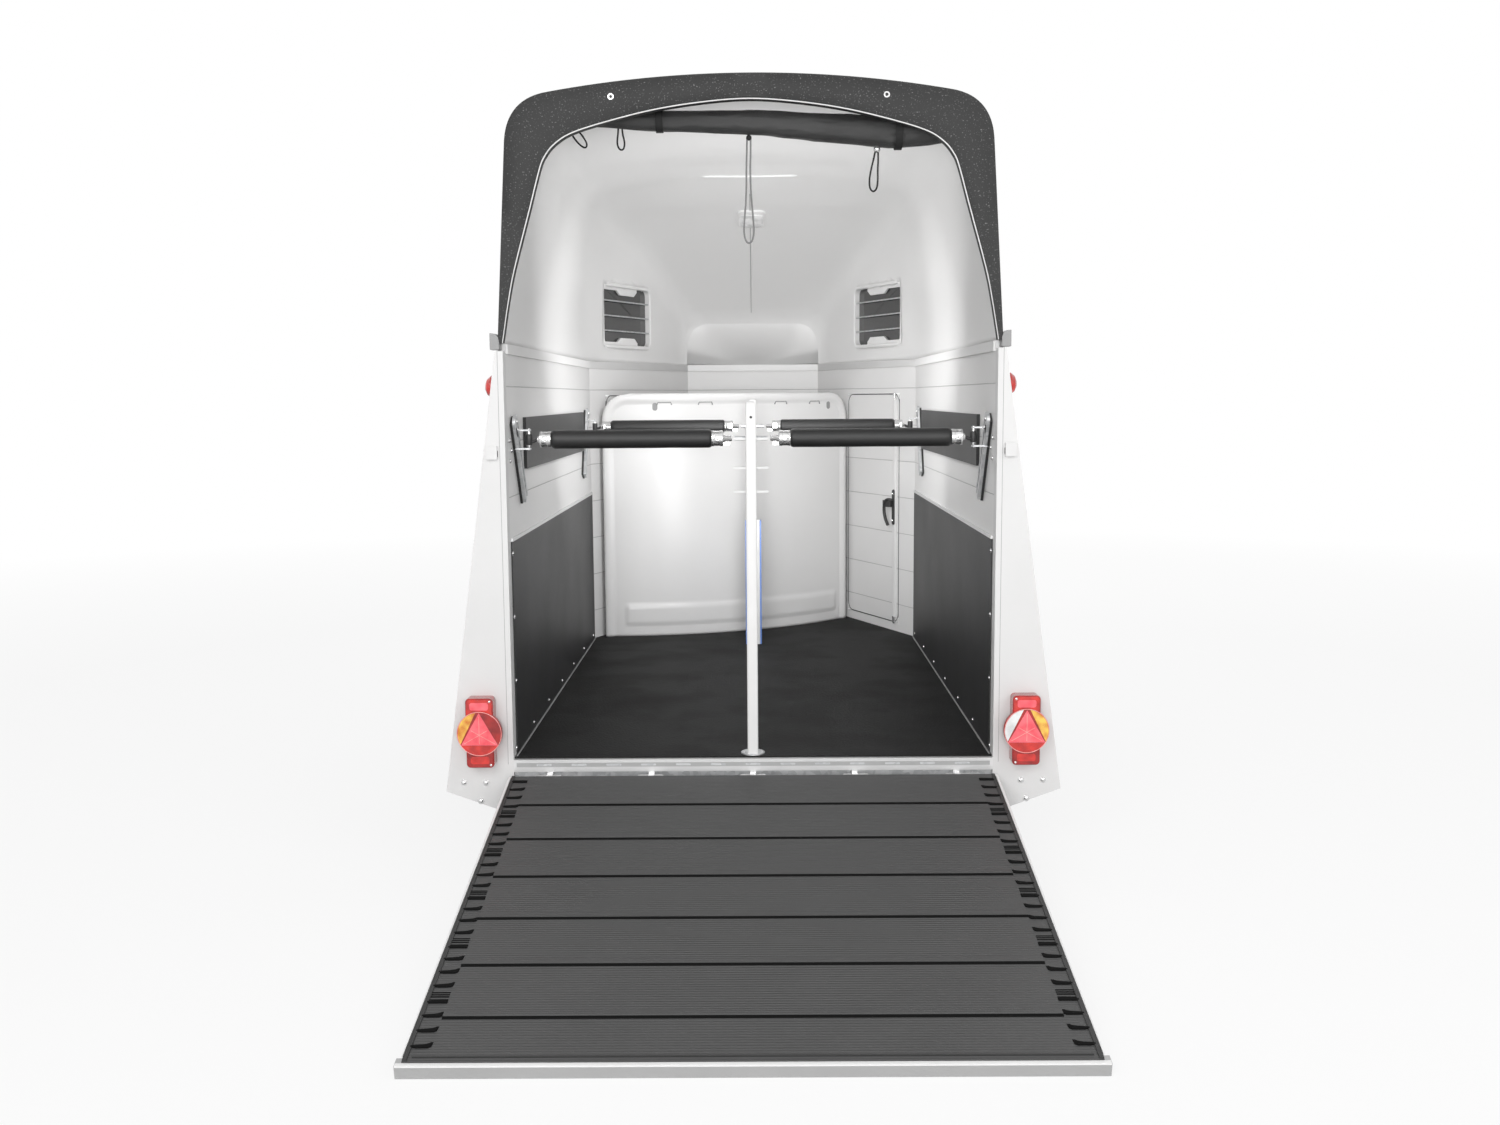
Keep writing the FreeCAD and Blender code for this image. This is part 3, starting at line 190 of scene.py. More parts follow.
def planks():
    """White panels with a narrow groove between one plank and the next."""
    paint = Paint("wall panel", 0.38)
    count = paint.math("DIVIDE", paint.math("SUBTRACT", paint.axis("Z"), PLANK_START), PLANK_PITCH)
    part = paint.math("FRACT", paint.math("ADD", count, 20.5))
    groove = paint.range(paint.math("ABSOLUTE", paint.math("SUBTRACT", part, 0.5)), 0.0, 1.0, 0.004, 0.012)
    drift = paint.noise(2.5)
    clean = paint.mix(drift, tone(0.71, 0.005), tone(0.78, 0.005))
    paint.colour(paint.mix(groove, tone(0.42), clean))
    paint.rough(drift, 0.3, 0.5)
    paint.bump(paint.noise(220.0, 2.0), 0.00012)
    return paint.bump(groove, 0.0012).material


def moulding():
    paint = Paint("white moulding", 0.28).drifting(tone(0.745, 0.004), tone(0.785, 0.004), 1.8, 0.30, 0.38)
    paint.settings(Coat_Weight=0.15, Coat_Roughness=0.2)
    return paint.bump(paint.noise(260.0, 2.0), 0.00006).material


def flecked():
    """Dark moulding with fine light flecks."""
    paint = Paint("flecked band", 0.5)
    flecks = paint.range(paint.noise(210.0, 1.0), 0.0, 1.0, 0.64, 0.76)
    base = paint.mix(paint.noise(4.0), tone(0.026), tone(0.036))
    paint.colour(paint.mix(flecks, base, tone(0.17)))
    paint.rough(flecks, 0.6, 0.45)
    paint.settings(Specular_IOR_Level=0.3)
    return paint.bump(paint.noise(500.0, 2.0), 0.0002).material


GROOVE_PITCH = 0.0105


def ribbed_rubber():
    """Black rubber with fine grooves across it."""
    paint = Paint("ribbed rubber", 0.62).drifting(tone(0.050), tone(0.070), 6.0, 0.52, 0.72)
    paint.bump(paint.noise(300.0), 0.0003)
    wave = paint.math("SINE", paint.math("MULTIPLY", paint.axis("Y"), 2 * math.pi / GROOVE_PITCH))
    return paint.bump(paint.range(wave, 0.0, 1.0, -0.3, 0.6), 0.0012).material


def floor_rubber():
    """Black rubber with a fine hammered face and some tread dust."""
    paint = Paint("floor rubber", 0.55)
    dust = paint.range(paint.noise(3.0, 6.0), 0.0, 1.0, 0.45, 0.75)
    paint.colour(paint.mix(dust, tone(0.010), tone(0.018, 0.02)))
    paint.rough(dust, 0.62, 0.8)
    paint.settings(Specular_IOR_Level=0.16)
    return paint.bump(paint.cells(110.0), 0.0008).material


def foam():
    paint = Paint("foam", 0.40).drifting(tone(0.010), tone(0.016), 14.0, 0.34, 0.42)
    paint.settings(Sheen_Weight=0.08, Sheen_Roughness=0.4)
    paint.bump(paint.noise(36.0), 0.0008)
    return paint.bump(paint.cells(900.0), 0.0003).material


WEAVE = 4200


def vinyl():
    """Coated cloth with soft creases and a fine weave."""
    paint = Paint("tarp vinyl", 0.42).drifting(tone(0.035), tone(0.060), 7.0, 0.32, 0.55)
    paint.bump(paint.noise(22.0, 3.0, (1, 2.2, 2.2)), 0.0040)
    across, down = (paint.math("SINE", paint.math("MULTIPLY", paint.axis(letter), WEAVE)) for letter in "XZ")
    return paint.bump(paint.math("MULTIPLY", across, down), 0.00015).material


def lens(name, dark, light):
    """A moulded lens: glossy outside, with the small prisms behind it showing through, and soft blotches of
    painted highlight.
    """
    paint = Paint(name, 0.12)
    prisms = paint.cells(260.0)
    # Soft blotches of the light colour: painted highlight, as from reflections inside the lens
    painted_glints = paint.range(paint.noise(26.0, 1.0), 0.0, 1.0, 0.36, 0.66)
    paint.colour(paint.mix(paint.math("MULTIPLY_ADD", prisms, 0.3, painted_glints), dark, light))
    paint.settings(Coat_Weight=0.6, Coat_Roughness=0.04)
    return paint.bump(prisms, 0.0006).material


def tread_rubber():
    paint = Paint("tyre rubber", 0.68).drifting(tone(0.020), tone(0.036), 10.0, 0.58, 0.8)
    return paint.bump(paint.noise(180.0), 0.0004).material


GALVANISED = galvanised()
ALUMINIUM = brushed("mill aluminium", 0.78, 0.34)
CHROME = brushed("bright steel", 0.80, 0.2, 0.9)
RIM_STEEL = brushed("rim silver", 0.66, 0.36, 0.7)
GREY_METAL = brushed("dull aluminium", 0.46, 0.42)
PANEL = planks()
WHITE = moulding()
FLECKED = flecked()
RIBBED = ribbed_rubber()
FLOOR_RUBBER = floor_rubber()
FOAM = foam()
VINYL = vinyl()
TREAD = tread_rubber()
WHITE_METAL = plain("white metal", tone(0.70, 0.004), tone(0.78, 0.004), 0.36, 4.0, 120.0)
PILLAR_METAL = plain("pillar metal", tone(0.66, 0.004), tone(0.72, 0.004), 0.42, 4.0, 120.0)
GREY_PLASTIC = plain("grey plastic", tone(0.27), tone(0.33), 0.5, 8.0, 300.0)
DARK_PLASTIC = plain("dark plastic", tone(0.020), tone(0.032), 0.42, 8.0, 400.0)
DARK_PANEL = plain("dark panel", tone(0.022, -0.01), tone(0.040, -0.01), 0.42, 2.5, 260.0, 0.0003,
                   Specular_IOR_Level=0.3)
BOARD = plain("film-faced board", (0.16, 0.10, 0.055, 1), (0.24, 0.15, 0.085, 1), 0.5, 12.0, 300.0)
RUBBER = plain("black rubber", tone(0.018), tone(0.032), 0.6, 9.0, 240.0, 0.0003)
# Near-black, dull rubber: painted shade, for the undercut faces of the ramp mat's ribs, its cleats and its
# grooves
SHADE_RUBBER = plain("painted shade rubber", tone(0.004), tone(0.008), 0.85, 9.0, 240.0, 0.0003,
                    Specular_IOR_Level=0.08)
GLASS = plain("smoked glass", tone(0.010), tone(0.016), 0.06, 2.0, 6.0, 0.0002, Coat_Weight=0.8,
              Coat_Roughness=0.03)
ELASTIC = plain("elastic cord", tone(0.008), tone(0.016), 0.7, 300.0, 1400.0, 0.0003)
PALE_ELASTIC = plain("pale elastic cord", tone(0.16), tone(0.26), 0.7, 300.0, 1400.0, 0.0003)
BLUE_FILM = plain("blue film", (0.10, 0.22, 0.62, 1), (0.16, 0.30, 0.74, 1), 0.3, 20.0, 90.0)
RED_LENS = lens("red lens", (0.42, 0.012, 0.010, 1), (0.72, 0.035, 0.025, 1))
DEEP_RED = lens("deep red lens", (0.22, 0.006, 0.006, 1), (0.42, 0.015, 0.012, 1))
BRIGHT_RED = lens("reflector", (0.86, 0.07, 0.10, 1), (0.96, 0.16, 0.19, 1))
# Pale red for the lines along the reflector's facet edges and the ring round the lens: painted highlight
HIGHLIGHT_RED = lens("painted lens highlight", (0.90, 0.24, 0.24, 1), (0.98, 0.42, 0.40, 1))
AMBER_LENS = lens("amber lens", (0.62, 0.14, 0.01, 1), (0.96, 0.62, 0.10, 1))
CLEAR_LENS = lens("clear lens", tone(0.62), tone(0.86))


# Shapes
def placed(name, data):
    """A new object in the scene."""
    thing = bpy.data.objects.new(name, data)
    bpy.context.scene.collection.objects.link(thing)
    return thing


class Form:
    """One piece in the making: points and faces that end up as a single object."""

    def __init__(self, *materials):
        self.materials = materials
        self.mesh = bmesh.new()

    def faces(self, points, faces, material=0):
        verts = [self.mesh.verts.new(point) for point in points]
        for face in faces:
            made = self.mesh.faces.new([verts[index] for index in face])
            made.material_index = material

    def grid(self, rows, material=0, close_rows=False, close_columns=False, keep=None):
        """A surface through rows of points, or those of its faces whose middle keep accepts."""
        wide = len(rows[0])
        quads = []
        for row in range(len(rows) - (0 if close_rows else 1)):
            for column in range(wide - (0 if close_columns else 1)):
                after = (row + 1) % len(rows)
                right = (column + 1) % wide
                corners = [(row, column), (row, right), (after, right), (after, column)]
                if keep is None or keep(sum((Vector(rows[r][c]) for r, c in corners), Vector()) / 4):
                    quads.append([r * wide + c for r, c in corners])
        self.faces([point for line in rows for point in line], quads, material)

    def capped(self, rows, material=0, ends=(-1,)):
        """Closed rows of points joined one to the next, with a face over the rows at the given ends."""
        self.grid(rows, material, close_columns=True)
        for end in ends:
            self.faces(rows[end], [list(range(len(rows[end])))], material)

    def prism(self, outline, start, end, axis="z", material=0):
        """A flat outline carried along an axis. Its two numbers are the other two axes, in order."""
        order = {"x": lambda u, v, w: (w, u, v), "y": lambda u, v, w: (u, w, v),
                 "z": lambda u, v, w: (u, v, w)}
        count = len(outline)
        points = [order[axis](u, v, level) for level in (start, end) for u, v in outline]
        sides = [[i, (i + 1) % count, count + (i + 1) % count, count + i] for i in range(count)]
        ends = [list(range(count))[::-1], list(range(count, 2 * count))]
        self.faces(points, sides + ends, material)

    def box(self, low, high, material=0):
        (x0, y0, z0), (x1, y1, z1) = low, high
        self.prism([(x0, y0), (x1, y0), (x1, y1), (x0, y1)], z0, z1, "z", material)

    def spun(self, profile, at, axis="z", material=0, sides=48, way=1):
        """A turned shape: the profile's points are (distance along the axis, radius)."""
        u, v, w = {"x": ((0, 1, 0), (0, 0, 1), (1, 0, 0)), "y": ((0, 0, 1), (1, 0, 0), (0, 1, 0)),
                   "z": ((1, 0, 0), (0, 1, 0), (0, 0, 1))}[axis]
        u, v, w, at = Vector(u), Vector(v), Vector(w) * way, Vector(at)
        rows = []
        for along, radius in profile:
            rows.append([at + w * along + (u * math.cos(turn) + v * math.sin(turn)) * radius
                         for turn in (2 * math.pi * side / sides for side in range(sides))])
        self.grid(rows, material, close_columns=True)

    def tube(self, path, radius, material=0, sides=12):
        """A round bar along a path, closed at both ends."""
        path = [Vector(point) for point in path]
        normal = (path[1] - path[0]).orthogonal().normalized()
        rows = []
        for index, point in enumerate(path):
            way = (path[min(index + 1, len(path) - 1)] - path[max(index - 1, 0)]).normalized()
            normal = (normal - way * normal.dot(way)).normalized()
            side = way.cross(normal)
            rows.append([point + (normal * math.cos(turn) + side * math.sin(turn)) * radius
                         for turn in (2 * math.pi * number / sides for number in range(sides))])
        self.grid([[path[0]] * sides] + rows + [[path[-1]] * sides], material, close_columns=True)

    def bolt(self, at, axis, size=0.008, material=0, way=1):
        """A domed bolt head on a washer."""
        profile = [(0, 0), (0, size * 1.5), (size * 0.2, size * 1.5), (size * 0.2, size),
                   (size * 0.55, size * 0.9), (size * 0.8, size * 0.5), (size * 0.85, 0)]
        self.spun(profile, at, axis, material, 16, way)

    def piece(self, name, body="root", replaces=(), at=IN_STATIONS, bevel=0.0, sharp=38,
              outward=True):
        """The finished object."""
        bmesh.ops.remove_doubles(self.mesh, verts=self.mesh.verts, dist=1e-6)
        if outward:
            bmesh.ops.recalc_face_normals(self.mesh, faces=self.mesh.faces)
        mesh = bpy.data.meshes.new(name)
        self.mesh.to_mesh(mesh)
        self.mesh.free()
        for material in self.materials:
            mesh.materials.append(material)
        mesh.shade_smooth()
        mesh.set_sharp_from_angle(angle=math.radians(sharp))
        thing = placed(name, mesh)
        thing.matrix_world = at
        if bevel:
            edges = thing.modifiers.new("Edges", "BEVEL")
            edges.width = bevel
            edges.segments = 2
            edges.limit_method = "ANGLE"
            edges.angle_limit = math.radians(sharp)
            edges.harden_normals = True
        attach(thing, body)
        if replaces:
            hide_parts(*([replaces] if isinstance(replaces, str) else replaces))
        return thing


def thicken(thing, thickness, offset):
    """Gives a surface a wall: behind its faces at offset -1, in front of them at 1."""
    wall = thing.modifiers.new("Wall", "SOLIDIFY")
    wall.thickness = thickness
    wall.offset = offset


def rounded(width, height, radius, at=(0, 0), steps=6):
    """A rectangle with round corners, as an outline about a middle."""
    points = []
    for turn, (u, v) in enumerate(((1, 1), (-1, 1), (-1, -1), (1, -1))):
        for step in range(steps + 1):
            angle = math.pi / 2 * (turn + step / steps)
            points.append((at[0] + u * (width / 2 - radius) + radius * math.cos(angle),
                           at[1] + v * (height / 2 - radius) + radius * math.sin(angle)))
    return points


def mirrored(half):
    """A closed outline from one long side of it, repeated across its long axis."""
    return [(u, -v) for u, v in half] + [(u, v) for u, v in half[::-1]]


def smooth_line(points, steps=5):
    """More points along a flowing curve through the given ones."""
    points = [Vector(point) for point in points]
    last = len(points) - 1
    line = []
    for index in range(last):
        before, start, end, after = (points[min(max(index + shift, 0), last)] for shift in (-1, 0, 1, 2))
        for step in range(steps):
            t = step / steps
            line.append(0.5 * (2 * start + (end - before) * t
                               + (2 * before - 5 * start + 4 * end - after) * t ** 2
                               + (3 * start - before - 3 * end + after) * t ** 3))
    return line + [points[-1]]


def eased(value, low, high):
    """Runs smoothly from 0 at low to 1 at high."""
    share = min(max((value - low) / (high - low), 0), 1)
    return share * share * (3 - 2 * share)


def last_inside(inside, low, high):
    """The highest value between low and high that is still inside, found by halving."""
    for _ in range(26):
        middle = (low + high) / 2
        if inside(middle):
            low = middle
        else:
            high = middle
    return low


# Camera: fitted to the photograph's own perspective
CAMERA_PLACE = (0.018, -6.183, 1.603)
CAMERA_TURNS = (("Z", 0.29), ("X", 83.252), ("Z", -0.384))
CAMERA_LENS = 33.6
FILM_WIDTH = 36


def camera():
    data = bpy.data.cameras.new("camera")
    data.sensor_width = FILM_WIDTH
    data.lens = CAMERA_LENS
    data.clip_end = 60
    place = Matrix.Translation(CAMERA_PLACE)
    for axis, degrees in CAMERA_TURNS:
        place = place @ Matrix.Rotation(math.radians(degrees), 4, axis)
    thing = placed("camera", data)
    thing.matrix_world = place
    bpy.context.scene.camera = thing


camera()


# Elastic loops hanging from the rolled tarp: length, then places across and above the floor, in metres
LOOPS = {
    1: (0.179,
        ((-0.604, 2.142), (-0.601, 2.126), (-0.594, 2.109), (-0.581, 2.091), (-0.565, 2.075), (-0.551, 2.069),
         (-0.545, 2.080), (-0.554, 2.099), (-0.569, 2.119), (-0.582, 2.131), (-0.588, 2.141))),
    2: (0.151,
        ((-0.440, 2.132), (-0.441, 2.114), (-0.444, 2.096), (-0.444, 2.078), (-0.437, 2.063), (-0.424, 2.062),
         (-0.419, 2.079), (-0.421, 2.096), (-0.426, 2.114), (-0.427, 2.131))),
    3: (0.710,
        ((-0.007, 2.099), (-0.008, 2.056), (-0.010, 2.001), (-0.010, 1.945), (-0.012, 1.886), (-0.018, 1.828),
         (-0.020, 1.782), (-0.011, 1.752), (0.005, 1.751), (0.015, 1.779), (0.013, 1.826), (0.007, 1.886),
         (0.004, 1.945), (0.003, 2.001), (0.005, 2.056), (0.005, 2.099))),
    4: (0.284,
        ((0.425, 2.055), (0.419, 2.024), (0.410, 1.990), (0.405, 1.958), (0.406, 1.930), (0.418, 1.917),
         (0.431, 1.928), (0.434, 1.958), (0.433, 1.990), (0.435, 2.024), (0.434, 2.055))),
}
PALE_LOOP = 3
LOOP_STATION = 0.120
LOOP_DIAMETER = 0.006


def tarp_loops():
    for number, (length, spots) in LOOPS.items():
        curve = bpy.data.curves.new(f"loop_{number}", "CURVE")
        curve.dimensions = "3D"
        curve.bevel_depth = LOOP_DIAMETER / 2
        curve.bevel_resolution = 4
        curve.use_fill_caps = True
        curve.resolution_u = 8
        line = curve.splines.new("NURBS")
        line.points.add(len(spots) - 1)
        for point, (x, rise) in zip(line.points, spots):
            point.co = (x, REAR + LOOP_STATION, FLOOR + rise, 1)
        line.order_u = 3
        line.use_endpoint_u = True
        curve.materials.append(PALE_ELASTIC if number == PALE_LOOP else ELASTIC)
        thing = placed(f"elastic_loop_{number}", curve)
        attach(thing, "root")
        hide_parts(f"tarp_loop_{number}")
        x, rise = spots[0]


tarp_loops()


# CAD nodes that stay: each gets the finish of its slot, or of its own
SLOT_FINISH = {"galvanised_steel": GALVANISED, "aluminium": ALUMINIUM, "wall_panel": PANEL,
               "white_moulding": WHITE, "dark_moulding": DARK_PLASTIC, "floor_board": BOARD,
               "black_rubber": RUBBER, "black_plastic": DARK_PLASTIC, "dark_panel": DARK_PANEL,
               "dark_glass": GLASS, "red_lens": RED_LENS, "tarp": VINYL, "elastic": ELASTIC, "tyre": TREAD,
               "rim": RIM_STEEL, "foam": FOAM}
OWN_FINISH = {"floor_mat": FLOOR_RUBBER, "rear_pillars": PILLAR_METAL, "ramp_deck": GREY_METAL}


def finish_nodes():
    slots = {part["node"]: part["material_slot"] for part in frame["record"]["subparts"]}
    for name, thing in frame["nodes"].items():
        finish = OWN_FINISH.get(name, SLOT_FINISH[slots[name]])
        for place in thing.material_slots:
            place.material = finish


finish_nodes()


# The hood: an arch across the trailer, angled faces and a brow in front, all running into each other
HOOD_TOP = FLOOR + 2.282
HOOD_BASE = 0.842
HOOD_LEAN = math.radians(3.4)
HOOD_CROWN = 3.9
HOOD_START = 0.030
HOOD_FRONT = NOSE_STATION + 0.025
HOOD_SKIN = 0.005
HOOD_TURNS = 110
BROW_START = 1.9
BROW_RADIUS = 2.2
BROW_BLEND = 0.6


def eased_max(first, second, reach):
    """The larger value, eased over where the two are within reach of each other."""
    near = max(reach - abs(first - second), 0) / reach
    return max(first, second) + near * near * reach / 4


def arch_gap(x, z):
    """How far a point is outside the arch across the trailer."""
    side = (abs(x) - HOOD_BASE) * math.cos(HOOD_LEAN) + (z - WALL_TOP) * math.sin(HOOD_LEAN)
    crown = math.hypot(x, z - HOOD_TOP + HOOD_CROWN) - HOOD_CROWN
    return eased_max(side, crown, 0.13)


def hood_gap(x, station, z):
    """How far a point is outside the whole hood."""
    angled = (abs(x) - OUTER_HALF) * math.cos(SLANT) + (station - SIDE_LEN - 0.0054) * math.sin(SLANT)
    shell = eased_max(arch_gap(x, z), angled, 0.15)
    if station > BROW_START:
        brow = math.hypot(station - BROW_START, z - HOOD_TOP + BROW_RADIUS) - BROW_RADIUS
        blend = min((station - BROW_START) / BROW_BLEND, 1)
        shell = eased_max(shell, brow, 0.002 + 0.12 * blend * blend)
    return eased_max(shell, station - HOOD_FRONT, 0.09)


def skin_point(gap, turn):
    """The point where a ray in a cross-section, from the middle of its base, leaves the shape."""
    across, up = math.cos(turn), math.sin(turn)
    reach = last_inside(lambda way: gap(way * across, WALL_TOP + way * up) < 0, 0.0, 1.3)
    return reach * across, WALL_TOP + reach * up


# Windows in the angled faces, measured along the wall from its corner with the side wall
WINDOW_ALONG = 0.418
WINDOW_MIDDLE = FLOOR + 1.6575
WINDOW_HALF_WIDTH = 0.2585
WINDOW_HALF_HEIGHT = 0.1575


def from_slant(point):
    """Along and outward from the inner face of an angled wall."""
    x, station = abs(point[0]), point[1]
    along = (station - SIDE_LEN) * math.cos(SLANT) + (HALF - x) * math.sin(SLANT)
    out = (x - HALF) * math.cos(SLANT) + (station - SIDE_LEN) * math.sin(SLANT)
    return along, out


def on_slant(along, out, z, side=1):
    x = HALF - along * math.sin(SLANT) + out * math.cos(SLANT)
    return side * x, SIDE_LEN + along * math.cos(SLANT) + out * math.sin(SLANT), z


def off_window(point):
    along, out = from_slant(point)
    in_width = abs(along - WINDOW_ALONG) < WINDOW_HALF_WIDTH - 0.0025
    in_height = abs(point[2] - WINDOW_MIDDLE) < WINDOW_HALF_HEIGHT - 0.0015
    return not (in_width and in_height and out > -0.05)


def hood():
    coarse = [HOOD_START + 0.06 * step for step in range(40)]
    fine = [2.40 + 0.022 * step for step in range(45)]
    tip = [HOOD_FRONT - left for left in (0.04, 0.034, 0.029, 0.0255, 0.0238, 0.0230)]
    turns = [math.pi * step / HOOD_TURNS for step in range(HOOD_TURNS + 1)]
    rows = []
    for station in coarse + fine + tip:
        if hood_gap(0, station, WALL_TOP) < 0:
            spots = [skin_point(lambda x, z: hood_gap(x, station, z), turn) for turn in turns]
            rows.append([(x, station, z) for x, z in spots])
    rows.append([(0, HOOD_FRONT - 0.0225, WALL_TOP)] * len(turns))
    form = Form(WHITE)
    form.grid(rows, keep=off_window)
    thicken(form.piece("hood_shell", replaces="hood", sharp=60), HOOD_SKIN, -1)


hood()


# The dark band round the rear end of the hood
BAND_INNER = ((0.826, 1.417), (0.803, 1.55), (0.780, 1.656), (0.725, 1.85), (0.689, 1.979), (0.670, 2.022),
              (0.640, 2.058), (0.587, 2.092), (0.488, 2.124), (0.324, 2.164), (0.16, 2.189), (0.0, 2.200))
BAND_BACK = -0.020
BAND_FRONT = 0.030
BAND_SCREW = (0.45, 2.208)


def rear_band():
    contour = list(BAND_INNER) + [(-x, z) for x, z in BAND_INNER[-2::-1]]
    inner = [(spot.x, FLOOR + spot.y) for spot in smooth_line(contour)]
    # across the band: share of the way from its inner to its outer edge, and station
    section = ((0.0, BAND_FRONT), (0.0, BAND_BACK + 0.006), (0.06, BAND_BACK), (0.5, BAND_BACK),
               (0.94, BAND_BACK), (1.0, BAND_BACK + 0.006), (1.0, BAND_FRONT))
    rows = []
    for x, z in inner:
        u, v = skin_point(arch_gap, math.atan2(z - WALL_TOP, x))
        rows.append([(x + (u - x) * share, station, z + (v - z) * share) for share, station in section])
    form = Form(FLECKED)
    form.capped(rows, ends=(0, -1))
    form.piece("rear_band", replaces="rear_frame", sharp=50)
    edge = Form(WHITE)
    edge.tube([(x, BAND_BACK + 0.004, z) for x, z in inner], 0.0022, sides=8)
    edge.piece("band_edge")
    screws = Form(CHROME, DARK_PLASTIC)
    for side in SIDES:
        x, z = side * BAND_SCREW[0], FLOOR + BAND_SCREW[1]
        ring = [(0.0, 0.0), (0.0, 0.0105), (0.0015, 0.0100), (0.0016, 0.0)]
        screws.spun(ring, (x, BAND_BACK + 0.0002, z), "y", 0, 24, -1)
        screws.bolt((x, BAND_BACK - 0.0012, z), "y", 0.0036, 1, -1)
    screws.piece("band_screws")


rear_band()


# Rail where the hood sits on the walls, inside
def wall_rail():
    form = Form(WHITE_METAL)
    start, end = 0.04, NOSE_STATION - 0.008
    low, top = WALL_TOP - 0.036, WALL_TOP - 0.002
    for side in SIDES:
        form.prism([(side * HALF, start), (side * HALF, SIDE_LEN), (side * NOSE_HALF, NOSE_STATION),
                    (side * (NOSE_HALF - 0.001), end), (side * (HALF - 0.007), SIDE_LEN + 0.001),
                    (side * (HALF - 0.007), start)], low, top)
    form.box((-NOSE_HALF, end, low), (NOSE_HALF, NOSE_STATION, top))
    form.piece("wall_rail", bevel=0.0015)


wall_rail()


# On the ceiling: a moulded ridge across it, a small lamp ahead, and the seam down the middle of the front
RIDGE_STATION = 2.055
RIDGE_LEFT = -0.235
RIDGE_WIDTH = 0.455
RIDGE_BOW = 0.020
CEILING_LAMP_STATION = 2.64
SEAM_START = 2.35
SEAM_LEN = 1.02


def ceiling(station, x=0.0):
    """Height of the hood's inner face at a place."""
    return last_inside(lambda z: hood_gap(x, station, z) < 0, WALL_TOP, WALL_TOP + 1.2) - HOOD_SKIN


def ceiling_ridge():
    steps = 32
    rows = []
    for step in range(steps + 1):
        share = step / steps
        x = RIDGE_LEFT + RIDGE_WIDTH * share
        station = RIDGE_STATION + RIDGE_BOW * (1 - (2 * share - 1) ** 2)
        drop = 0.006 if 0 < step < steps else 0.0
        profile = ((-0.020, 0.001), (-0.014, -drop), (0.014, -drop), (0.020, 0.001))
        rows.append([(x, station + u, ceiling(station + u, x) + v) for u, v in profile])
    form = Form(WHITE)
    form.grid(rows)
    form.piece("ceiling_ridge", outward=False)


def ceiling_lamp():
    form = Form(WHITE, CLEAR_LENS)
    base = (0.072, 0.085, 0.0, -0.012)
    cover = (0.060, 0.062, -0.012, -0.022)
    for material, (half_width, half_length, top, bottom) in enumerate((base, cover)):
        rows = []
        for pull, drop in ((0.0, top), (0.0, bottom + 0.004), (0.006, bottom)):
            outline = rounded(2 * (half_width - pull), 2 * (half_length - pull), 0.030,
                              (0, CEILING_LAMP_STATION))
            rows.append([(x, station, ceiling(station, x) + drop) for x, station in outline])
        form.capped(rows, material)
    form.piece("ceiling_lamp")


def seam():
    """A white cover strip, with a grey line beside it that is painted shade along the seam."""
    line = []
    for step in range(40):
        station = SEAM_START + SEAM_LEN * step / 39
        height = skin_point(lambda x, z: hood_gap(x, station, z), math.pi / 2)[1] - HOOD_SKIN - 0.0005
        line.append((0, station, height))
    form = Form(WHITE, GREY_PLASTIC)
    form.tube(line, 0.0060, sides=8)
    # The grey line: painted shade beside the seam
    form.tube([(x - 0.0065, y, z - 0.0005) for x, y, z in line], 0.0022, 1, 8)
    form.piece("hood_seam")


ceiling_ridge()
ceiling_lamp()
seam()


# Windows: smoked glass set back in a white frame, with three bars inside and clips above and below
PANE_HALF = (0.245, 0.149)
WINDOW_BAR_PITCH = 0.077
CLIP = ((-0.235, 0.002), (-0.235, -0.013), (-0.085, -0.013), (-0.050, -0.036), (0.098, -0.036),
        (0.130, -0.013), (0.130, 0.002))
# rings round the frame's section: half width, half height, corner radius, distance outward
FRAME_RINGS = ((*PANE_HALF, 0.030, 0.008), (*PANE_HALF, 0.030, 0.046), (0.254, 0.156, 0.038, 0.048),
               (0.264, 0.163, 0.050, 0.048), (0.2705, 0.1695, 0.060, 0.042), (0.2705, 0.1695, 0.060, 0.026),
               (0.268, 0.169, 0.054, 0.0255), (0.268, 0.169, 0.054, 0.010), (0.262, 0.163, 0.050, 0.004),
               (0.250, 0.153, 0.036, 0.004))


def window_ring(side, half_width, half_height, radius, out):
    outline = rounded(2 * half_width, 2 * half_height, radius, (WINDOW_ALONG, WINDOW_MIDDLE))
    return [on_slant(along, out, z, side) for along, z in outline]


def window_frames():
    frames = Form(WHITE)
    panes = Form(GLASS)
    bars = Form(GALVANISED)
    clips = Form(WHITE)
    half_width, half_height = PANE_HALF
    for side in SIDES:
        frames.grid([window_ring(side, *sizes) for sizes in FRAME_RINGS], close_rows=True, close_columns=True)
        panes.capped([window_ring(side, half_width + 0.001, half_height + 0.001, 0.031, out)
                      for out in (0.036, 0.040)], ends=(0, -1))
        for rise in (-WINDOW_BAR_PITCH, 0.0, WINDOW_BAR_PITCH):
            bars.tube([on_slant(WINDOW_ALONG + reach, 0.017, WINDOW_MIDDLE + rise, side)
                       for reach in (-half_width, half_width)], 0.0042, sides=10)
        for flip in (1, -1):
            outline = [(WINDOW_ALONG + u, WINDOW_MIDDLE + flip * (half_height - 0.002 + v)) for u, v in CLIP]
            clips.capped([[on_slant(along, out, z, side) for along, z in outline] for out in (0.033, 0.022)])
    panes.piece("window_panes", replaces="window_glass")
    frames.piece("window_surrounds", replaces="window_frames")
    bars.piece("window_bars")
    clips.piece("window_clips", bevel=0.001)


window_frames()


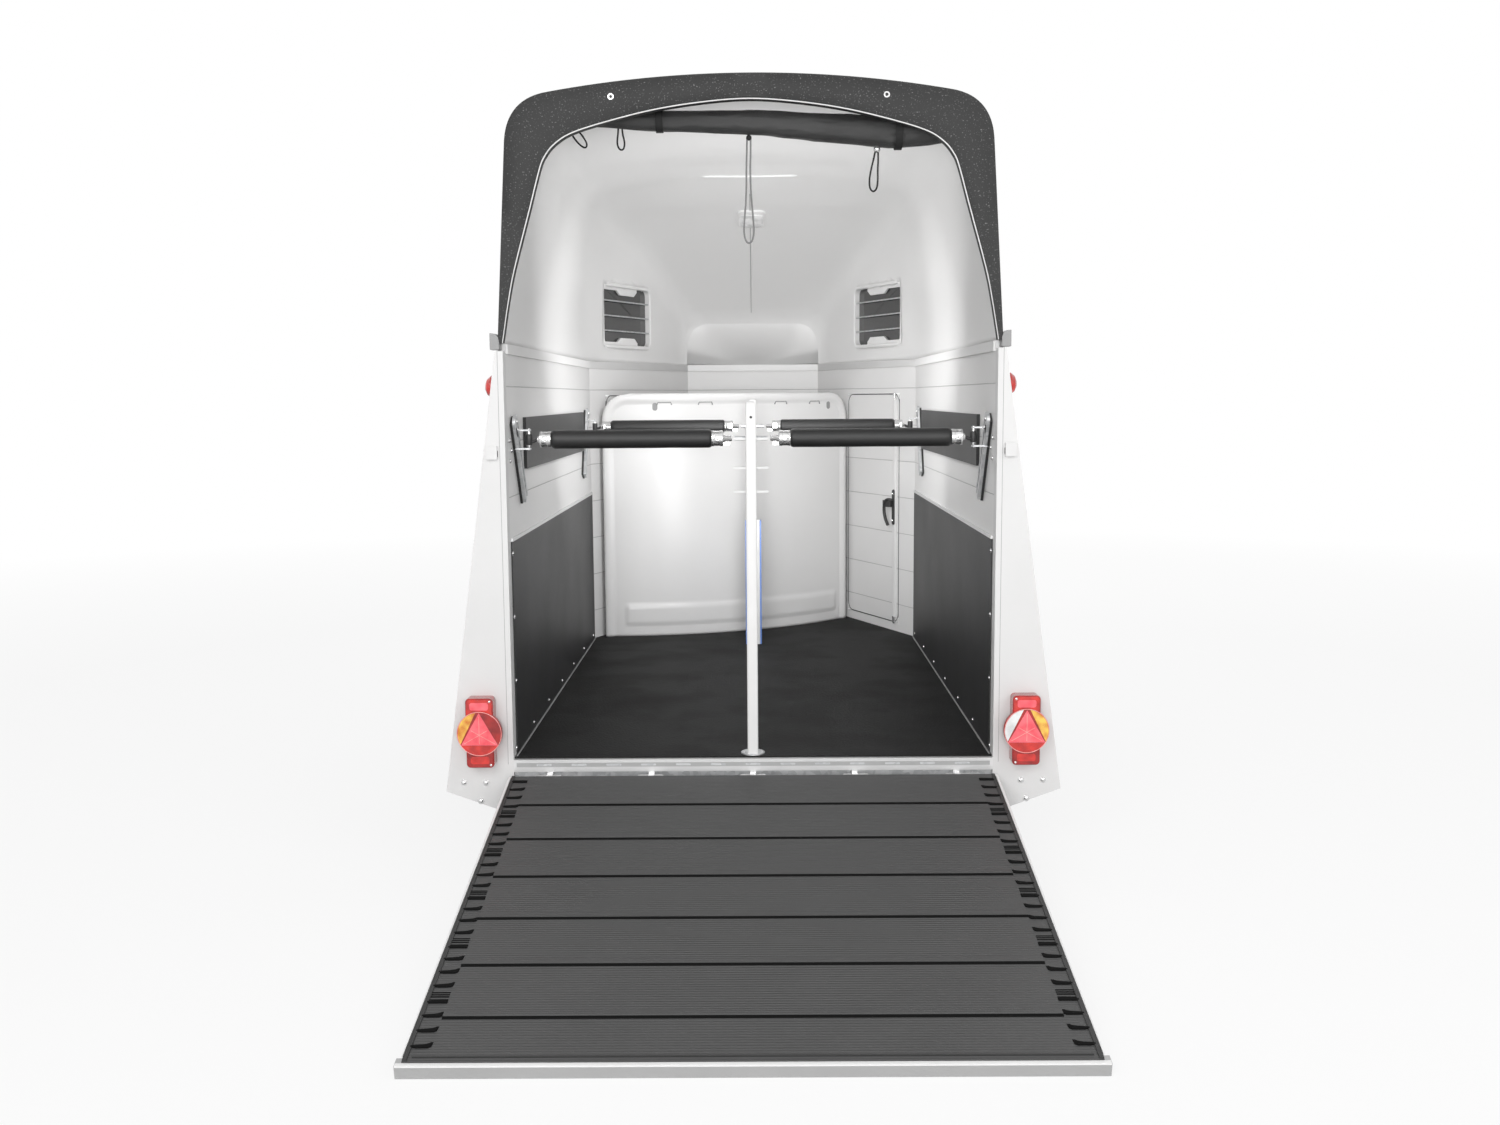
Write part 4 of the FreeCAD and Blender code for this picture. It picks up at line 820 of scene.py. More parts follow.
# The moulded tack panel: curved in plan, with a rolled rim, a step near its foot, hooks and oval buttons
def circle_through(first, second, third):
    (ax, ay), (bx, by), (cx, cy) = first, second, third
    span = 2 * (ax * (by - cy) + bx * (cy - ay) + cx * (ay - by))
    a2, b2, c2 = ax * ax + ay * ay, bx * bx + by * by, cx * cx + cy * cy
    middle = Vector(((a2 * (by - cy) + b2 * (cy - ay) + c2 * (ay - by)) / span,
                     (a2 * (cx - bx) + b2 * (ax - cx) + c2 * (bx - ax)) / span))
    return middle, (Vector(first) - middle).length


def tack_turn(x, station):
    return math.atan2(station - TACK_MIDDLE.y, x - TACK_MIDDLE.x)


TACK_ARC = ((-0.766, 2.463), (-0.022, 2.626), (0.510, 3.048))
TACK_MIDDLE, TACK_RADIUS = circle_through(*TACK_ARC)
TACK_START = tack_turn(*TACK_ARC[0])
TACK_SWEEP = tack_turn(*TACK_ARC[2]) - TACK_START
TACK_WIDTH = abs(TACK_SWEEP) * TACK_RADIUS
TACK_HEIGHT = 1.250
TACK_CORNER = 0.13
TACK_WALL = 0.012
TACK_FACE = -0.0005
HOOK_PLACES = (-0.452, -0.243, 0.149, 0.333)
HOOK_RISE = 1.204
BUTTON_PLACES = (-0.500, 0.411)
BUTTON_RISE = 1.186


def tack_spot(across, rise, depth):
    """A point on the panel: distance from its left edge, height and depth behind its face."""
    turn = TACK_START + TACK_SWEEP * across / TACK_WIDTH
    reach = TACK_RADIUS - depth
    return TACK_MIDDLE.x + reach * math.cos(turn), TACK_MIDDLE.y + reach * math.sin(turn), FLOOR + rise


def across_at(x):
    """How far along the panel a place across the trailer is."""
    station = TACK_MIDDLE.y - math.sqrt(TACK_RADIUS ** 2 - (x - TACK_MIDDLE.x) ** 2)
    return (tack_turn(x, station) - TACK_START) / TACK_SWEEP * TACK_WIDTH


def tack_inside(across, rise):
    """How far a point is inside the panel's outline, with its round upper corners."""
    u = min(across, TACK_WIDTH - across)
    v = TACK_HEIGHT - rise
    if max(u, v) < TACK_CORNER:
        return TACK_CORNER - math.hypot(TACK_CORNER - u, TACK_CORNER - v)
    return min(u, v)


def tack_depth(across, rise):
    edge = tack_inside(across, rise)
    rim = 0.010 * eased(edge, 0.028, 0.046) + 0.004 * (1 - eased(edge, 0.0, 0.012))
    between = eased(across, 0.10, 0.115) * eased(TACK_WIDTH - across, 0.08, 0.1)
    foot = 0.010 * (1 - eased(rise, 0.150, 0.166)) * between
    low = 0.008 * (1 - eased(rise, 0.055, 0.070)) * between
    return 0.004 + rim - 0.6 * foot + 0.8 * low


def tack_panel():
    columns, lines = 130, 110
    rows = []
    for line in range(lines + 1):
        rise = TACK_HEIGHT * line / lines
        trim = 0.0
        if TACK_HEIGHT - rise < TACK_CORNER:
            trim = TACK_CORNER - math.sqrt(max(TACK_CORNER ** 2 - (TACK_CORNER - TACK_HEIGHT + rise) ** 2, 0))
        places = [trim + (TACK_WIDTH - 2 * trim) * column / columns for column in range(columns + 1)]
        rows.append([tack_spot(across, rise, tack_depth(across, rise)) for across in places])
    form = Form(WHITE)
    form.grid(rows)
    thing = form.piece("tack_moulding", replaces="tack_panel", sharp=60, outward=False)
    thicken(thing, TACK_WALL, 1)

    fittings = Form(GREY_PLASTIC)
    for place in map(across_at, HOOK_PLACES):
        hook = ((-0.038, -0.010), (-0.033, 0.005), (0.033, 0.005), (0.038, -0.010))
        fittings.tube([tack_spot(place + u, HOOK_RISE + v, TACK_FACE) for u, v in hook], 0.0036, sides=8)
    for place in map(across_at, BUTTON_PLACES):
        oval = rounded(0.026, 0.040, 0.012, (place, BUTTON_RISE))
        fittings.capped([[tack_spot(across, rise, depth) for across, rise in oval]
                         for depth in (0.004, TACK_FACE)])
    fittings.piece("tack_hooks")


tack_panel()


# Doors: a round-cornered seal on each side; on the right one a cover bar, and a pull with its plate
COVER_ALONG = 0.196
COVER_HALF = 0.017
COVER_DEPTH = 0.012
PULL_Z = FLOOR + 0.655


def door_seals():
    for name, side in NAMED_SIDES:
        seal = Form(DARK_PLASTIC)
        outline = rounded(0.556, 1.196, 0.05, (0.440, FLOOR + 0.645), 5)
        path = [on_slant(along, 0.002, z, side) for along, z in outline]
        seal.tube(path + path[:1], 0.0032, sides=8)
        seal.piece(f"{name}_door_seal")


def door_cover_bar():
    bar = Form(WHITE_METAL, CHROME)
    section = ((-1, 0), (-1, 0.7), (-0.6, 1), (0.6, 1), (1, 0.7), (1, 0))
    outline = [on_slant(COVER_ALONG + COVER_HALF * u, -COVER_DEPTH * v, 0)[:2] for u, v in section]
    bar.prism(outline, FLOOR + 0.075, FLOOR + 1.215)
    for rise in (0.060, 1.228):
        bar.tube([on_slant(COVER_ALONG, -0.006, FLOOR + rise - 0.02),
                  on_slant(COVER_ALONG, -0.010, FLOOR + rise + 0.02)], 0.007, 1)
    bar.piece("door_cover_bar", "jockey_door", bevel=0.0012)


def door_pull():
    pull = Form(DARK_PLASTIC, CHROME)
    plate = (0.026, 0.185, 0.010, -0.0125)
    face = (0.022, 0.180, 0.009, -0.0165)
    rings = [[on_slant(along, out, z) for along, z in rounded(width, height, radius, (COVER_ALONG, PULL_Z))]
             for width, height, radius, out in (plate, face)]
    pull.grid(rings + [[rings[1][0]] * len(rings[1])], close_columns=True)
    block = ((0.004, -0.014), (0.056, -0.026), (0.056, -0.046), (0.004, -0.034))
    pull.prism([on_slant(COVER_ALONG + reach, out, 0)[:2] for reach, out in block], PULL_Z, PULL_Z + 0.035)
    grip = ((0.004, -0.014, 0.035), (0.020, -0.034, 0.039), (0.042, -0.040, 0.025), (0.050, -0.040, -0.015),
            (0.040, -0.038, -0.060), (0.020, -0.034, -0.095))
    pull.tube(smooth_line([on_slant(COVER_ALONG + reach, out, PULL_Z + rise) for reach, out, rise in grip]),
              0.0085)
    for rise in (-0.070, 0.070):
        pull.spun([(0, 0.005), (0.003, 0.005), (0.004, 0.0)], on_slant(COVER_ALONG, face[3], PULL_Z + rise),
                  "y", 1, 12, -1)
    pull.piece("door_pull", "jockey_door", replaces="jockey_door_handle", bevel=0.0008)


door_seals()
door_cover_bar()
door_pull()


# Kick panels: rivets along the floor and up the rear edge, a strip on top and a bead at the floor
RIVET_PITCH = 0.3835
LINING_END = 2.400


def side_linings():
    rivets = Form(CHROME)
    edges = Form(ALUMINIUM, GREY_PLASTIC)
    low_row = [(0.012 + RIVET_PITCH * count, 0.031) for count in range(7)]
    rear_column = [(0.040, rise) for rise in (0.262, 0.485, 0.705)]
    bracket_rivets = ((0.065, 1.02), (0.100, 1.055), (0.065, 1.09))
    for side in SIDES:
        for station, rise in low_row + rear_column:
            rivets.bolt((side * (HALF - 0.0052), station, FLOOR + rise), "x", 0.0055, way=-side)
        for station, rise in bracket_rivets:
            rivets.bolt((side * (HALF - 0.0002), station, FLOOR + rise), "x", 0.006, way=-side)
        edges.box((side * HALF, 0.040, FLOOR + 0.745), (side * (HALF - 0.008), LINING_END, FLOOR + 0.757))
        edges.box((side * (HALF - 0.004), 0.015, FLOOR - 0.001),
                  (side * (HALF - 0.0095), LINING_END, FLOOR + 0.0026), 1)
    rivets.piece("lining_rivets")
    edges.piece("kick_edges", bevel=0.0012)


side_linings()


# Padded bars: foam sleeves that swell a little, collars with a screw, and a hook at the post
BAR_Z = FLOOR + 1.091
BARS = {"rear": 0.140, "front": 2.145}
PAD_START = 0.137
PAD_END = 0.690
PAD_RADIUS = 0.0322
PIVOT_X = 0.770


def bar_foam(body, side, station):
    form = Form(FOAM)
    profile = [(PAD_START, 0.0150), (PAD_START, 0.0280), (PAD_START + 0.004, 0.0305)]
    count = 44
    for step in range(count + 1):
        x = PAD_START + 0.008 + (PAD_END - PAD_START - 0.016) * step / count
        profile.append((x, PAD_RADIUS + 0.0008 * noise.noise(Vector((x * 9, side * 3.0, station)))))
    profile += [(PAD_END - 0.004, 0.0305), (PAD_END, 0.0280), (PAD_END, 0.0150)]
    form.spun(profile, (0, station, BAR_Z), "x", sides=40, way=side)
    sleeve = form.piece(f"{body}_foam", body, replaces=f"{body}_pad")


def bar_steel(body, side, station):
    form = Form(CHROME, DARK_PLASTIC)
    middle = (0, station, BAR_Z)
    form.spun([(0.066, 0.0), (0.066, 0.0080), (0.070, 0.0100), (0.088, 0.0100), (0.094, 0.0145),
               (0.731, 0.0148), (0.736, 0.0110), (0.740, 0.0110), (0.742, 0.0)],
              middle, "x", sides=28, way=side)
    hook = ((0.738, 0.0), (0.744, -0.001), (0.752, -0.006), (0.758, -0.007), (0.762, -0.006))
    form.tube([(side * x, station, BAR_Z + rise) for x, rise in hook], 0.0058, 1)
    form.box((side * 0.074, station - 0.005, BAR_Z - 0.024), (side * 0.098, station + 0.005, BAR_Z - 0.0135))
    for start, finish in ((PAD_START - 0.041, PAD_START - 0.001), (PAD_END + 0.001, PAD_END + 0.041)):
        collar = [(start, 0.0150), (start, 0.0250), (start + 0.002, 0.0272), (start + 0.012, 0.0276),
                  (start + 0.013, 0.0262), (finish - 0.008, 0.0262), (finish - 0.006, 0.0276),
                  (finish, 0.0270), (finish, 0.0150)]
        form.spun(collar, middle, "x", sides=36, way=side)
        form.bolt((side * (start + finish) / 2, station - 0.0262, BAR_Z), "y", 0.0045, way=-1)
    eye = [(-0.019, 0.0055), (-0.019, 0.0110), (-0.017, 0.0122), (0.017, 0.0122), (0.019, 0.0110),
           (0.019, 0.0055), (-0.019, 0.0055)]
    form.spun(eye, (side * PIVOT_X, station, BAR_Z), "z", 1, 32)
    form.piece(f"{body}_steel", body, replaces=body, bevel=0.0006)


for side_name, side in NAMED_SIDES:
    for end, station in BARS.items():
        bar_foam(f"{side_name}_{end}_bar", side, station)
        bar_steel(f"{side_name}_{end}_bar", side, station)


# Brackets on the walls: leaning channels with a backing strip, an upper plate, lugs and the bars' pins
BRACKET_LEANS = {"rear": math.radians(33), "front": math.radians(-24)}
LUG_START = 0.762
LUG_REACH = HALF - 0.004 - LUG_START


def leaning_box(form, lean, low, high, material=0):
    """A box along a leaning bracket's own directions."""
    (x0, y0, z0), (x1, y1, z1) = low, high
    corners = [lean @ Vector((x, y, z)) for z in (z0, z1)
               for x, y in ((x0, y0), (x1, y0), (x1, y1), (x0, y1))]
    faces = [[0, 3, 2, 1], [4, 5, 6, 7]] + [[i, (i + 1) % 4, 4 + (i + 1) % 4, 4 + i] for i in range(4)]
    form.faces(corners, faces, material)


def wall_bracket(form, side, end):
    station = BARS[end]
    lean = Matrix.Translation((0, station, BAR_Z)) @ Matrix.Rotation(BRACKET_LEANS[end], 4, "X")
    wall, face, lip = (side * (HALF - depth) for depth in (0.0, 0.009, 0.020))
    leaning_box(form, lean, (wall, -0.027, -0.258), (face, 0.027, 0.080), 1)
    for low, high in ((-0.025, -0.004), (0.012, 0.025)):
        leaning_box(form, lean, (face, low, -0.254), (lip, high, 0.060))
    plate = [lean @ Vector((0, u, v)) for u, v in rounded(0.052, 0.076, 0.022, (0, 0.058))]
    form.prism([(spot.y, spot.z) for spot in plate], face, lip, "x")
    for x, rise, size in ((lip, 0.040, 0.0065), (lip, 0.074, 0.0065), (face, -0.235, 0.006),
                          (face, -0.12, 0.006)):
        form.bolt(lean @ Vector((x, 0, rise)), "x", size, 2, -side)
    lug = mirrored([(0.02, 0.006), (0.10, 0.010), (1, 0.010)])
    for rise in (-0.035, 0.029):
        form.prism([(side * (LUG_START + LUG_REACH * u), station + v) for u, v in lug],
                   BAR_Z + rise, BAR_Z + rise + 0.006)
    form.spun([(-0.0378, 0.0), (-0.0378, 0.0035), (-0.035, 0.005), (0.034, 0.005), (0.0378, 0.0038),
               (0.0378, 0.0)], (side * PIVOT_X, station, BAR_Z), "z", 2, 16)


def bar_brackets():
    form = Form(GALVANISED, DARK_PLASTIC, CHROME)
    for side in SIDES:
        for end in BARS:
            wall_bracket(form, side, end)
    form.piece("wall_brackets", replaces="bar_brackets", bevel=0.0008)


bar_brackets()


# Posts: a square tube with a domed end and hook plates; the front one wears a sleeve with blue film edges
POST_WIDTH = 0.037
POST_TOP = FLOOR + 1.219
REAR_POST = 0.0245
REAR_FOOT = 0.043
FRONT_POST = 2.230
HOOK_HALF = 0.060


def post_tube(form, station, low):
    rows = []
    for z, pull in ((low, 0.0), (POST_TOP - 0.012, 0.0), (POST_TOP - 0.005, 0.0015),
                    (POST_TOP - 0.001, 0.005), (POST_TOP, 0.010)):
        width = POST_WIDTH - 2 * pull
        rows.append([(x, y, z) for x, y in rounded(width, width, 0.005, (0, station), 4)])
    form.grid(rows + [[(0, station, POST_TOP)] * len(rows[0])], close_columns=True)


def post_hooks(form, station):
    outline = mirrored([(-HOOK_HALF, 0.0035), (-HOOK_HALF + 0.016, 0.007), (-0.018, 0.0075), (0.018, 0.0075),
                        (HOOK_HALF - 0.016, 0.007), (HOOK_HALF, 0.0035)])
    for drop in (0.0, 0.097, 0.178):
        form.prism([(x, station + y) for x, y in outline], BAR_Z - drop - 0.0035, BAR_Z - drop + 0.0035)


def post_arm(form, station, bar_station):
    """The arm from a post to its bars, with a crosspiece that their hooks rest on."""
    near, far = sorted((station, bar_station))
    form.tube([(0, near, BAR_Z), (0, far, BAR_Z)], 0.0095, 1)
    form.tube([(-0.057, bar_station, BAR_Z), (0.057, bar_station, BAR_Z)], 0.0085, 1)


def posts():
    rear = Form(WHITE_METAL, GALVANISED, DARK_PLASTIC)
    post_tube(rear, REAR_POST, FLOOR + 0.004)
    post_hooks(rear, REAR_POST)
    post_arm(rear, REAR_POST, BARS["rear"])
    rear.spun([(0, 0.0), (0, 0.0415), (0.004, 0.0415), (0.0058, 0.038), (0.0058, 0.0)], (0, REAR_FOOT, FLOOR),
              "z", 1)
    for x, y in ((-0.030, 0.0), (0.030, 0.0), (0.0, 0.030)):
        rear.bolt((x, REAR_FOOT + y, FLOOR + 0.0055), "z", 0.0042, 1)
    hole = [(0, 0.0045), (0.0008, 0.0035), (0.0009, 0.0)]
    rear.spun(hole, (0, REAR_POST - POST_WIDTH / 2 - 0.0001, FLOOR + 1.165), "y", 2, 14, -1)
    rear.piece("rear_post_tube", replaces="rear_post", bevel=0.0006)

    front = Form(WHITE_METAL, GALVANISED, BLUE_FILM)
    post_tube(front, FRONT_POST, FLOOR + 0.02)
    post_arm(front, FRONT_POST, BARS["front"])
    front.prism(rounded(0.065, 0.053, 0.004, (0, FRONT_POST), 3), FLOOR, FLOOR + 0.625)
    for side in SIDES:
        front.box((side * 0.0325, FRONT_POST - 0.0255, FLOOR),
                  (side * 0.0395, FRONT_POST + 0.0255, FLOOR + 0.622), 2)
    front.piece("front_post_tube", replaces="front_post", bevel=0.0006)


posts()


# Ramp: an aluminium deck with a toe bar, and a rubber mat with ribs and cleats, a little wider at the toe
RAMP_LEN = 1.554
RAMP_TOP = 0.013
MAT_TOP = 0.021
MAT_HALF = 0.824
MAT_FLARE = 0.010
TOE_HALF = MAT_HALF + MAT_FLARE
MAT_START = -0.014
MAT_END = -1.543
RIB_FOOT = MAT_TOP - 0.0045
FIELD_HALF = 0.764
RIB_START = -0.2245
RIB_PITCH = 0.2287
RIB_COUNT = 6
CLEAT_START = -0.0535
CLEAT_PERIOD = 0.2495
CLEAT_SHIFTS = (0.0, 0.058, 0.118, 0.180)
BAR_SHIFTS = (0.2145, 0.2235, 0.2325)
CLEAT_END = MAT_END + 0.03
CLEAT_X = 0.791
CLEAT_HALF = 0.026
STRAIGHT_CLEAT = ((-0.027, -0.0115), (0.027, -0.0115), (0.027, 0.0045), (-0.027, 0.0065))
ROUND_CLEAT = ((-0.026, -0.007), (-0.019, -0.0115), (0.010, -0.0120), (0.027, -0.0085), (0.0265, -0.0035),
               (0.012, -0.0010), (-0.002, 0.0000), (-0.013, 0.0035), (-0.020, 0.0095), (-0.0245, 0.0170),
               (-0.0285, 0.0140))


def flare(y):
    """How much wider than at the hinge each side of the mat is, further down the ramp."""
    return MAT_FLARE * (MAT_START - y) / (MAT_START - MAT_END)


def wedge_cleat(form, side, y, outline):
    """A cleat that rises towards the toe and drops there."""
    x = side * (CLEAT_X + flare(y))
    low = [(x + side * u, y + v, MAT_TOP - 0.0042) for u, v in outline]
    top = [(x + side * u * 0.93, y + v * 0.9, MAT_TOP - 0.0004 - 0.0030 * max(v, 0) / 0.012)
           for u, v in outline]
    # The whole cleat is near-black rubber: painted shade for its face towards the toe
    form.capped([low, top], 2)


def side_cleats(form, side):
    for group in range(7):
        first = CLEAT_START - CLEAT_PERIOD * group
        for y in (first - shift for shift in CLEAT_SHIFTS):
            if y > CLEAT_END:
                wedge_cleat(form, side, y, STRAIGHT_CLEAT if y == first else ROUND_CLEAT)
        # Three narrow strips in near-black rubber: painted shade in the grooves
        for y in (first - shift for shift in BAR_SHIFTS):
            if y > CLEAT_END:
                x = CLEAT_X + flare(y)
                form.box((side * (x - CLEAT_HALF), y - 0.0016, RIB_FOOT),
                         (side * (x + CLEAT_HALF), y + 0.0016, MAT_TOP - 0.0022), 2)


def ramp_mat():
    base = Form(RIBBED)
    base.prism([(-TOE_HALF, MAT_END), (TOE_HALF, MAT_END), (MAT_HALF, MAT_START), (-MAT_HALF, MAT_START)],
               RAMP_TOP + 0.0004, MAT_TOP - 0.004)
    base.piece("ramp_rubber", "ramp", replaces="ramp_mat", at=ON_RAMP, bevel=0.001)
    details = Form(RUBBER, RIBBED, SHADE_RUBBER)
    for number in range(RIB_COUNT):
        y = RIB_START - RIB_PITCH * number
        wide = FIELD_HALF + flare(y)
        details.prism([(y + 0.034, RIB_FOOT), (y + 0.004, MAT_TOP - 0.0002), (y, MAT_TOP - 0.0008),
                       (y - 0.001, RIB_FOOT)], -wide, wide, "x", 1)
        # The rib's small face towards the toe, in near-black rubber: painted shade under the rib
        details.prism([(y, RIB_FOOT), (y, MAT_TOP - 0.0012), (y - 0.0030, MAT_TOP - 0.0026),
                       (y - 0.0105, RIB_FOOT + 0.0010), (y - 0.0105, RIB_FOOT)], -wide, wide, "x", 2)
    details.box((-MAT_HALF + 0.012, MAT_END + 0.014, RIB_FOOT),
                (MAT_HALF - 0.012, MAT_END + 0.018, MAT_TOP - 0.001))
    for side in SIDES:
        details.prism([(side * (MAT_HALF - 0.001), MAT_START - 0.002),
                       (side * (MAT_HALF - 0.012), MAT_START - 0.002),
                       (side * (TOE_HALF - 0.012), MAT_END + 0.002),
                       (side * (TOE_HALF - 0.001), MAT_END + 0.002)],
                      RIB_FOOT, MAT_TOP - 0.001)
        side_cleats(details, side)
    details.piece("ramp_cleats", "ramp", at=ON_RAMP, bevel=0.0006)


def ramp_edges():
    trim = Form(WHITE_METAL)
    for side in SIDES:
        trim.prism([(side * (MAT_HALF + 0.0008), -0.022), (side * 0.8338, -0.022),
                    (side * 0.8378, -RAMP_LEN + 0.031), (side * (TOE_HALF + 0.0008), -RAMP_LEN + 0.031)],
                   RAMP_TOP - 0.006, RAMP_TOP + 0.0060)
    trim.box((-0.8495, -RAMP_LEN - 0.0001, 0.0075), (0.8495, -RAMP_LEN + 0.0115, RAMP_TOP + 0.0005))
    trim.piece("ramp_edges", "ramp", at=ON_RAMP, bevel=0.0010)


ramp_mat()
ramp_edges()


# Rear lamps: a round lens with a triangular reflector, and lenses above and below
LAMP_X = 0.929
LAMP_Z = FLOOR + 0.102
LAMP_BACK = -0.075
LAMP_FRONT = LAMP_BACK - 0.0056
DISC = 0.077
LENS_RADIUS = DISC - 0.0035
APEX, CORNER = 4, 122


def arc(centre, radius, start, finish, steps=20):
    """Points on a circle, with the angles in degrees from straight up, clockwise."""
    turns = [math.radians(start + (finish - start) * step / steps) for step in range(steps + 1)]
    return [(centre[0] + radius * math.sin(turn), centre[1] + radius * math.cos(turn)) for turn in turns]


def rear_lamp(name, side):
    red, deep, bright, amber, inner, metal, pale = range(7)
    form = Form(RED_LENS, DEEP_RED, BRIGHT_RED, AMBER_LENS, CLEAR_LENS if side > 0 else DEEP_RED, CHROME,
                HIGHLIGHT_RED)
    x = side * LAMP_X
    form.prism(rounded(0.0945, 0.2405, 0.014, (x, LAMP_Z)), LAMP_BACK + 0.006, -0.020, "y", deep)
    for up, block, window in ((1, red, bright), (-1, deep, red)):
        form.prism(rounded(0.087, 0.074, 0.011, (x, LAMP_Z + up * 0.079)),
                   LAMP_BACK + 0.0008, LAMP_BACK + 0.010, "y", block)
        form.prism(rounded(0.064, 0.026, 0.008, (x, LAMP_Z + up * 0.093)),
                   LAMP_BACK - 0.0005, LAMP_BACK + 0.002, "y", window)
        for reach, rise in ((-side * 0.036, 0.110), (side * 0.036, 0.062)):
            form.bolt((x + reach, LAMP_BACK + 0.0008, LAMP_Z + up * rise), "y", 0.0026, metal, -1)
    form.spun([(0.0, 0.0), (0.0, DISC - 0.002), (0.003, DISC - 0.0002), (0.020, DISC - 0.0002), (0.020, 0.0)],
              (x, LAMP_BACK - 0.0030, LAMP_Z), "y", deep, 72)
    for hand in (1, -1):
        segment = arc((x, LAMP_Z), LENS_RADIUS, hand * (APEX + 5), hand * (CORNER - 3))
        form.prism(segment, LAMP_FRONT + 0.0008, LAMP_BACK + 0.004, "y", amber if hand == side else inner)
    form.prism(arc((x, LAMP_Z), LENS_RADIUS, CORNER + 2, 358 - CORNER),
               LAMP_FRONT + 0.0012, LAMP_BACK + 0.004, "y", red)
    triangle = [(x, LAMP_Z + LENS_RADIUS - 0.001), (x + 0.063, LAMP_Z - 0.040), (x - 0.063, LAMP_Z - 0.040)]
    form.prism(triangle, LAMP_FRONT + 0.0002, LAMP_BACK + 0.004, "y", bright)
    middle = (x, LAMP_FRONT - 0.0002, LAMP_Z - 0.004)
    # Pale lines from the middle out along the facet edges: painted highlight
    for u, v in ((0, 0.060), (0.052, -0.034), (-0.052, -0.034), (0, -0.034), (0.028, 0.012), (-0.028, 0.012)):
        form.tube([middle, (x + u, LAMP_FRONT + 0.0002, LAMP_Z + v)], 0.0011, pale, 6)
    # A pale ring round the lens: painted highlight on its rim
    rim = arc((x, LAMP_Z), LENS_RADIUS + 0.0018, 0, 360, 72)
    form.tube([(u, LAMP_FRONT + 0.0014, v) for u, v in rim], 0.0014, pale, 8)
    form.piece(f"{name}_lamp", replaces="rear_lamps", bevel=0.0008)


for side_name, side in NAMED_SIDES:
    rear_lamp(side_name, side)


# Screws, a dark line that is painted shade of a fold, latch boxes and end caps on the pillars; slots along
# the sill
PILLAR_FACE = -0.0195
LATCH = (0.868, 1.048)
CAP = ((0.867, 1.394), (0.836, 1.394), (0.836, 1.425), (0.840, 1.438), (0.850, 1.447), (0.867, 1.449))
SILL_SLOTS = 13
SILL_PITCH = 0.12


def pillar_fittings():
    form = Form(CHROME, DARK_PLASTIC, GREY_PLASTIC)
    caps = Form(GREY_PLASTIC)
    for side in SIDES:
        for x, rise in ((0.999, -0.084), (0.923, -0.085), (0.942, -0.149)):
            form.bolt((side * x, -0.0200, FLOOR + rise), "y", 0.0075, 0, -1)
        # A thin grey strip near the pillar's inner edge: painted shade of a fold in the sheet
        form.box((side * 0.8430, -0.0203, FLOOR - 0.02), (side * 0.8446, PILLAR_FACE, FLOOR + 1.40), 2)
        for width, height, back, material in ((0.036, 0.024, -0.0240, 1), (0.028, 0.017, -0.0256, 0)):
            form.prism(rounded(width, height, 0.004, (side * LATCH[0], FLOOR + LATCH[1])),
                       back, PILLAR_FACE, "y", material)
        caps.prism([(side * x, FLOOR + rise) for x, rise in CAP], -0.024, 0.030, "y")
    form.piece("pillar_bolts", bevel=0.0006)
    caps.piece("pillar_end_caps", replaces="pillar_caps", bevel=0.002)


def sill_slots():
    form = Form(GALVANISED, GREY_METAL)
    form.box((-0.815, -0.0202, FLOOR - 0.030), (0.815, -0.0190, FLOOR - 0.0155), 1)
    for number in range(SILL_SLOTS):
        x = SILL_PITCH * (number - (SILL_SLOTS - 1) / 2)
        form.prism(rounded(0.052, 0.0070, 0.0034, (x, FLOOR - 0.0228), 4), -0.0206, -0.019, "y")
    form.piece("sill_slots")


pillar_fittings()
sill_slots()


# Wheels: tyres with grooves and tread blocks, rims with nuts and dark slots
WHEEL_X = 0.970
WHEEL_Z = 0.300
WHEELS = {"rear": 0.990, "front": 1.710}
RIM_RADIUS = 0.178
BEAD_HALF = 0.0765
PITCHES = 84
FLANK = ((-BEAD_HALF, RIM_RADIUS - 0.001), (-0.082, 0.190), (-0.0905, 0.212), (-0.0920, 0.232),
         (-0.0900, 0.252), (-0.0850, 0.270), (-0.0800, 0.281), (-0.0765, 0.2875),
         (-0.0690, 0.2935), (-0.0660, 0.2945))
TREAD_ROWS = ((-0.0655, -0.0400), (-0.0345, -0.0110), (-0.0055, 0.0055), (0.0110, 0.0345), (0.0400, 0.0655))


def tyre(name, body, centre):
    tread = []
    for low, high in TREAD_ROWS:
        top = 0.2995 - 0.9 * max(abs(low), abs(high)) ** 2
        tread += [(low - 0.0004, 0.2895, False), (low, top, True), ((low + high) / 2, top + 0.0003, True),
                  (high, top, True), (high + 0.0004, 0.2895, False)]
    profile = [(x, r, False) for x, r in FLANK] + tread + [(-x, r, False) for x, r in reversed(FLANK)]
    columns = PITCHES * 4
    rows = []
    for x, radius, block in profile:
        row = []
        for column in range(columns):
            turn = 2 * math.pi * (column + abs(x) / 0.09 * 1.4) / columns
            reach = radius
            if column % 4 == 0 and block:
                reach -= 0.0055
            elif column % 4 == 0 and 0.2805 < radius < 0.294:
                reach -= 0.004
            row.append((centre[0] + x, centre[1] + reach * math.sin(turn),
                        centre[2] + reach * math.cos(turn)))
        rows.append(row)
    form = Form(TREAD)
    form.grid(rows, close_columns=True)
    form.spun([(-BEAD_HALF, RIM_RADIUS - 0.001), (BEAD_HALF, RIM_RADIUS - 0.001)], centre, "x", sides=PITCHES)
    form.piece(name, body, replaces=body.replace("_wheel", "_tyre"), sharp=32)


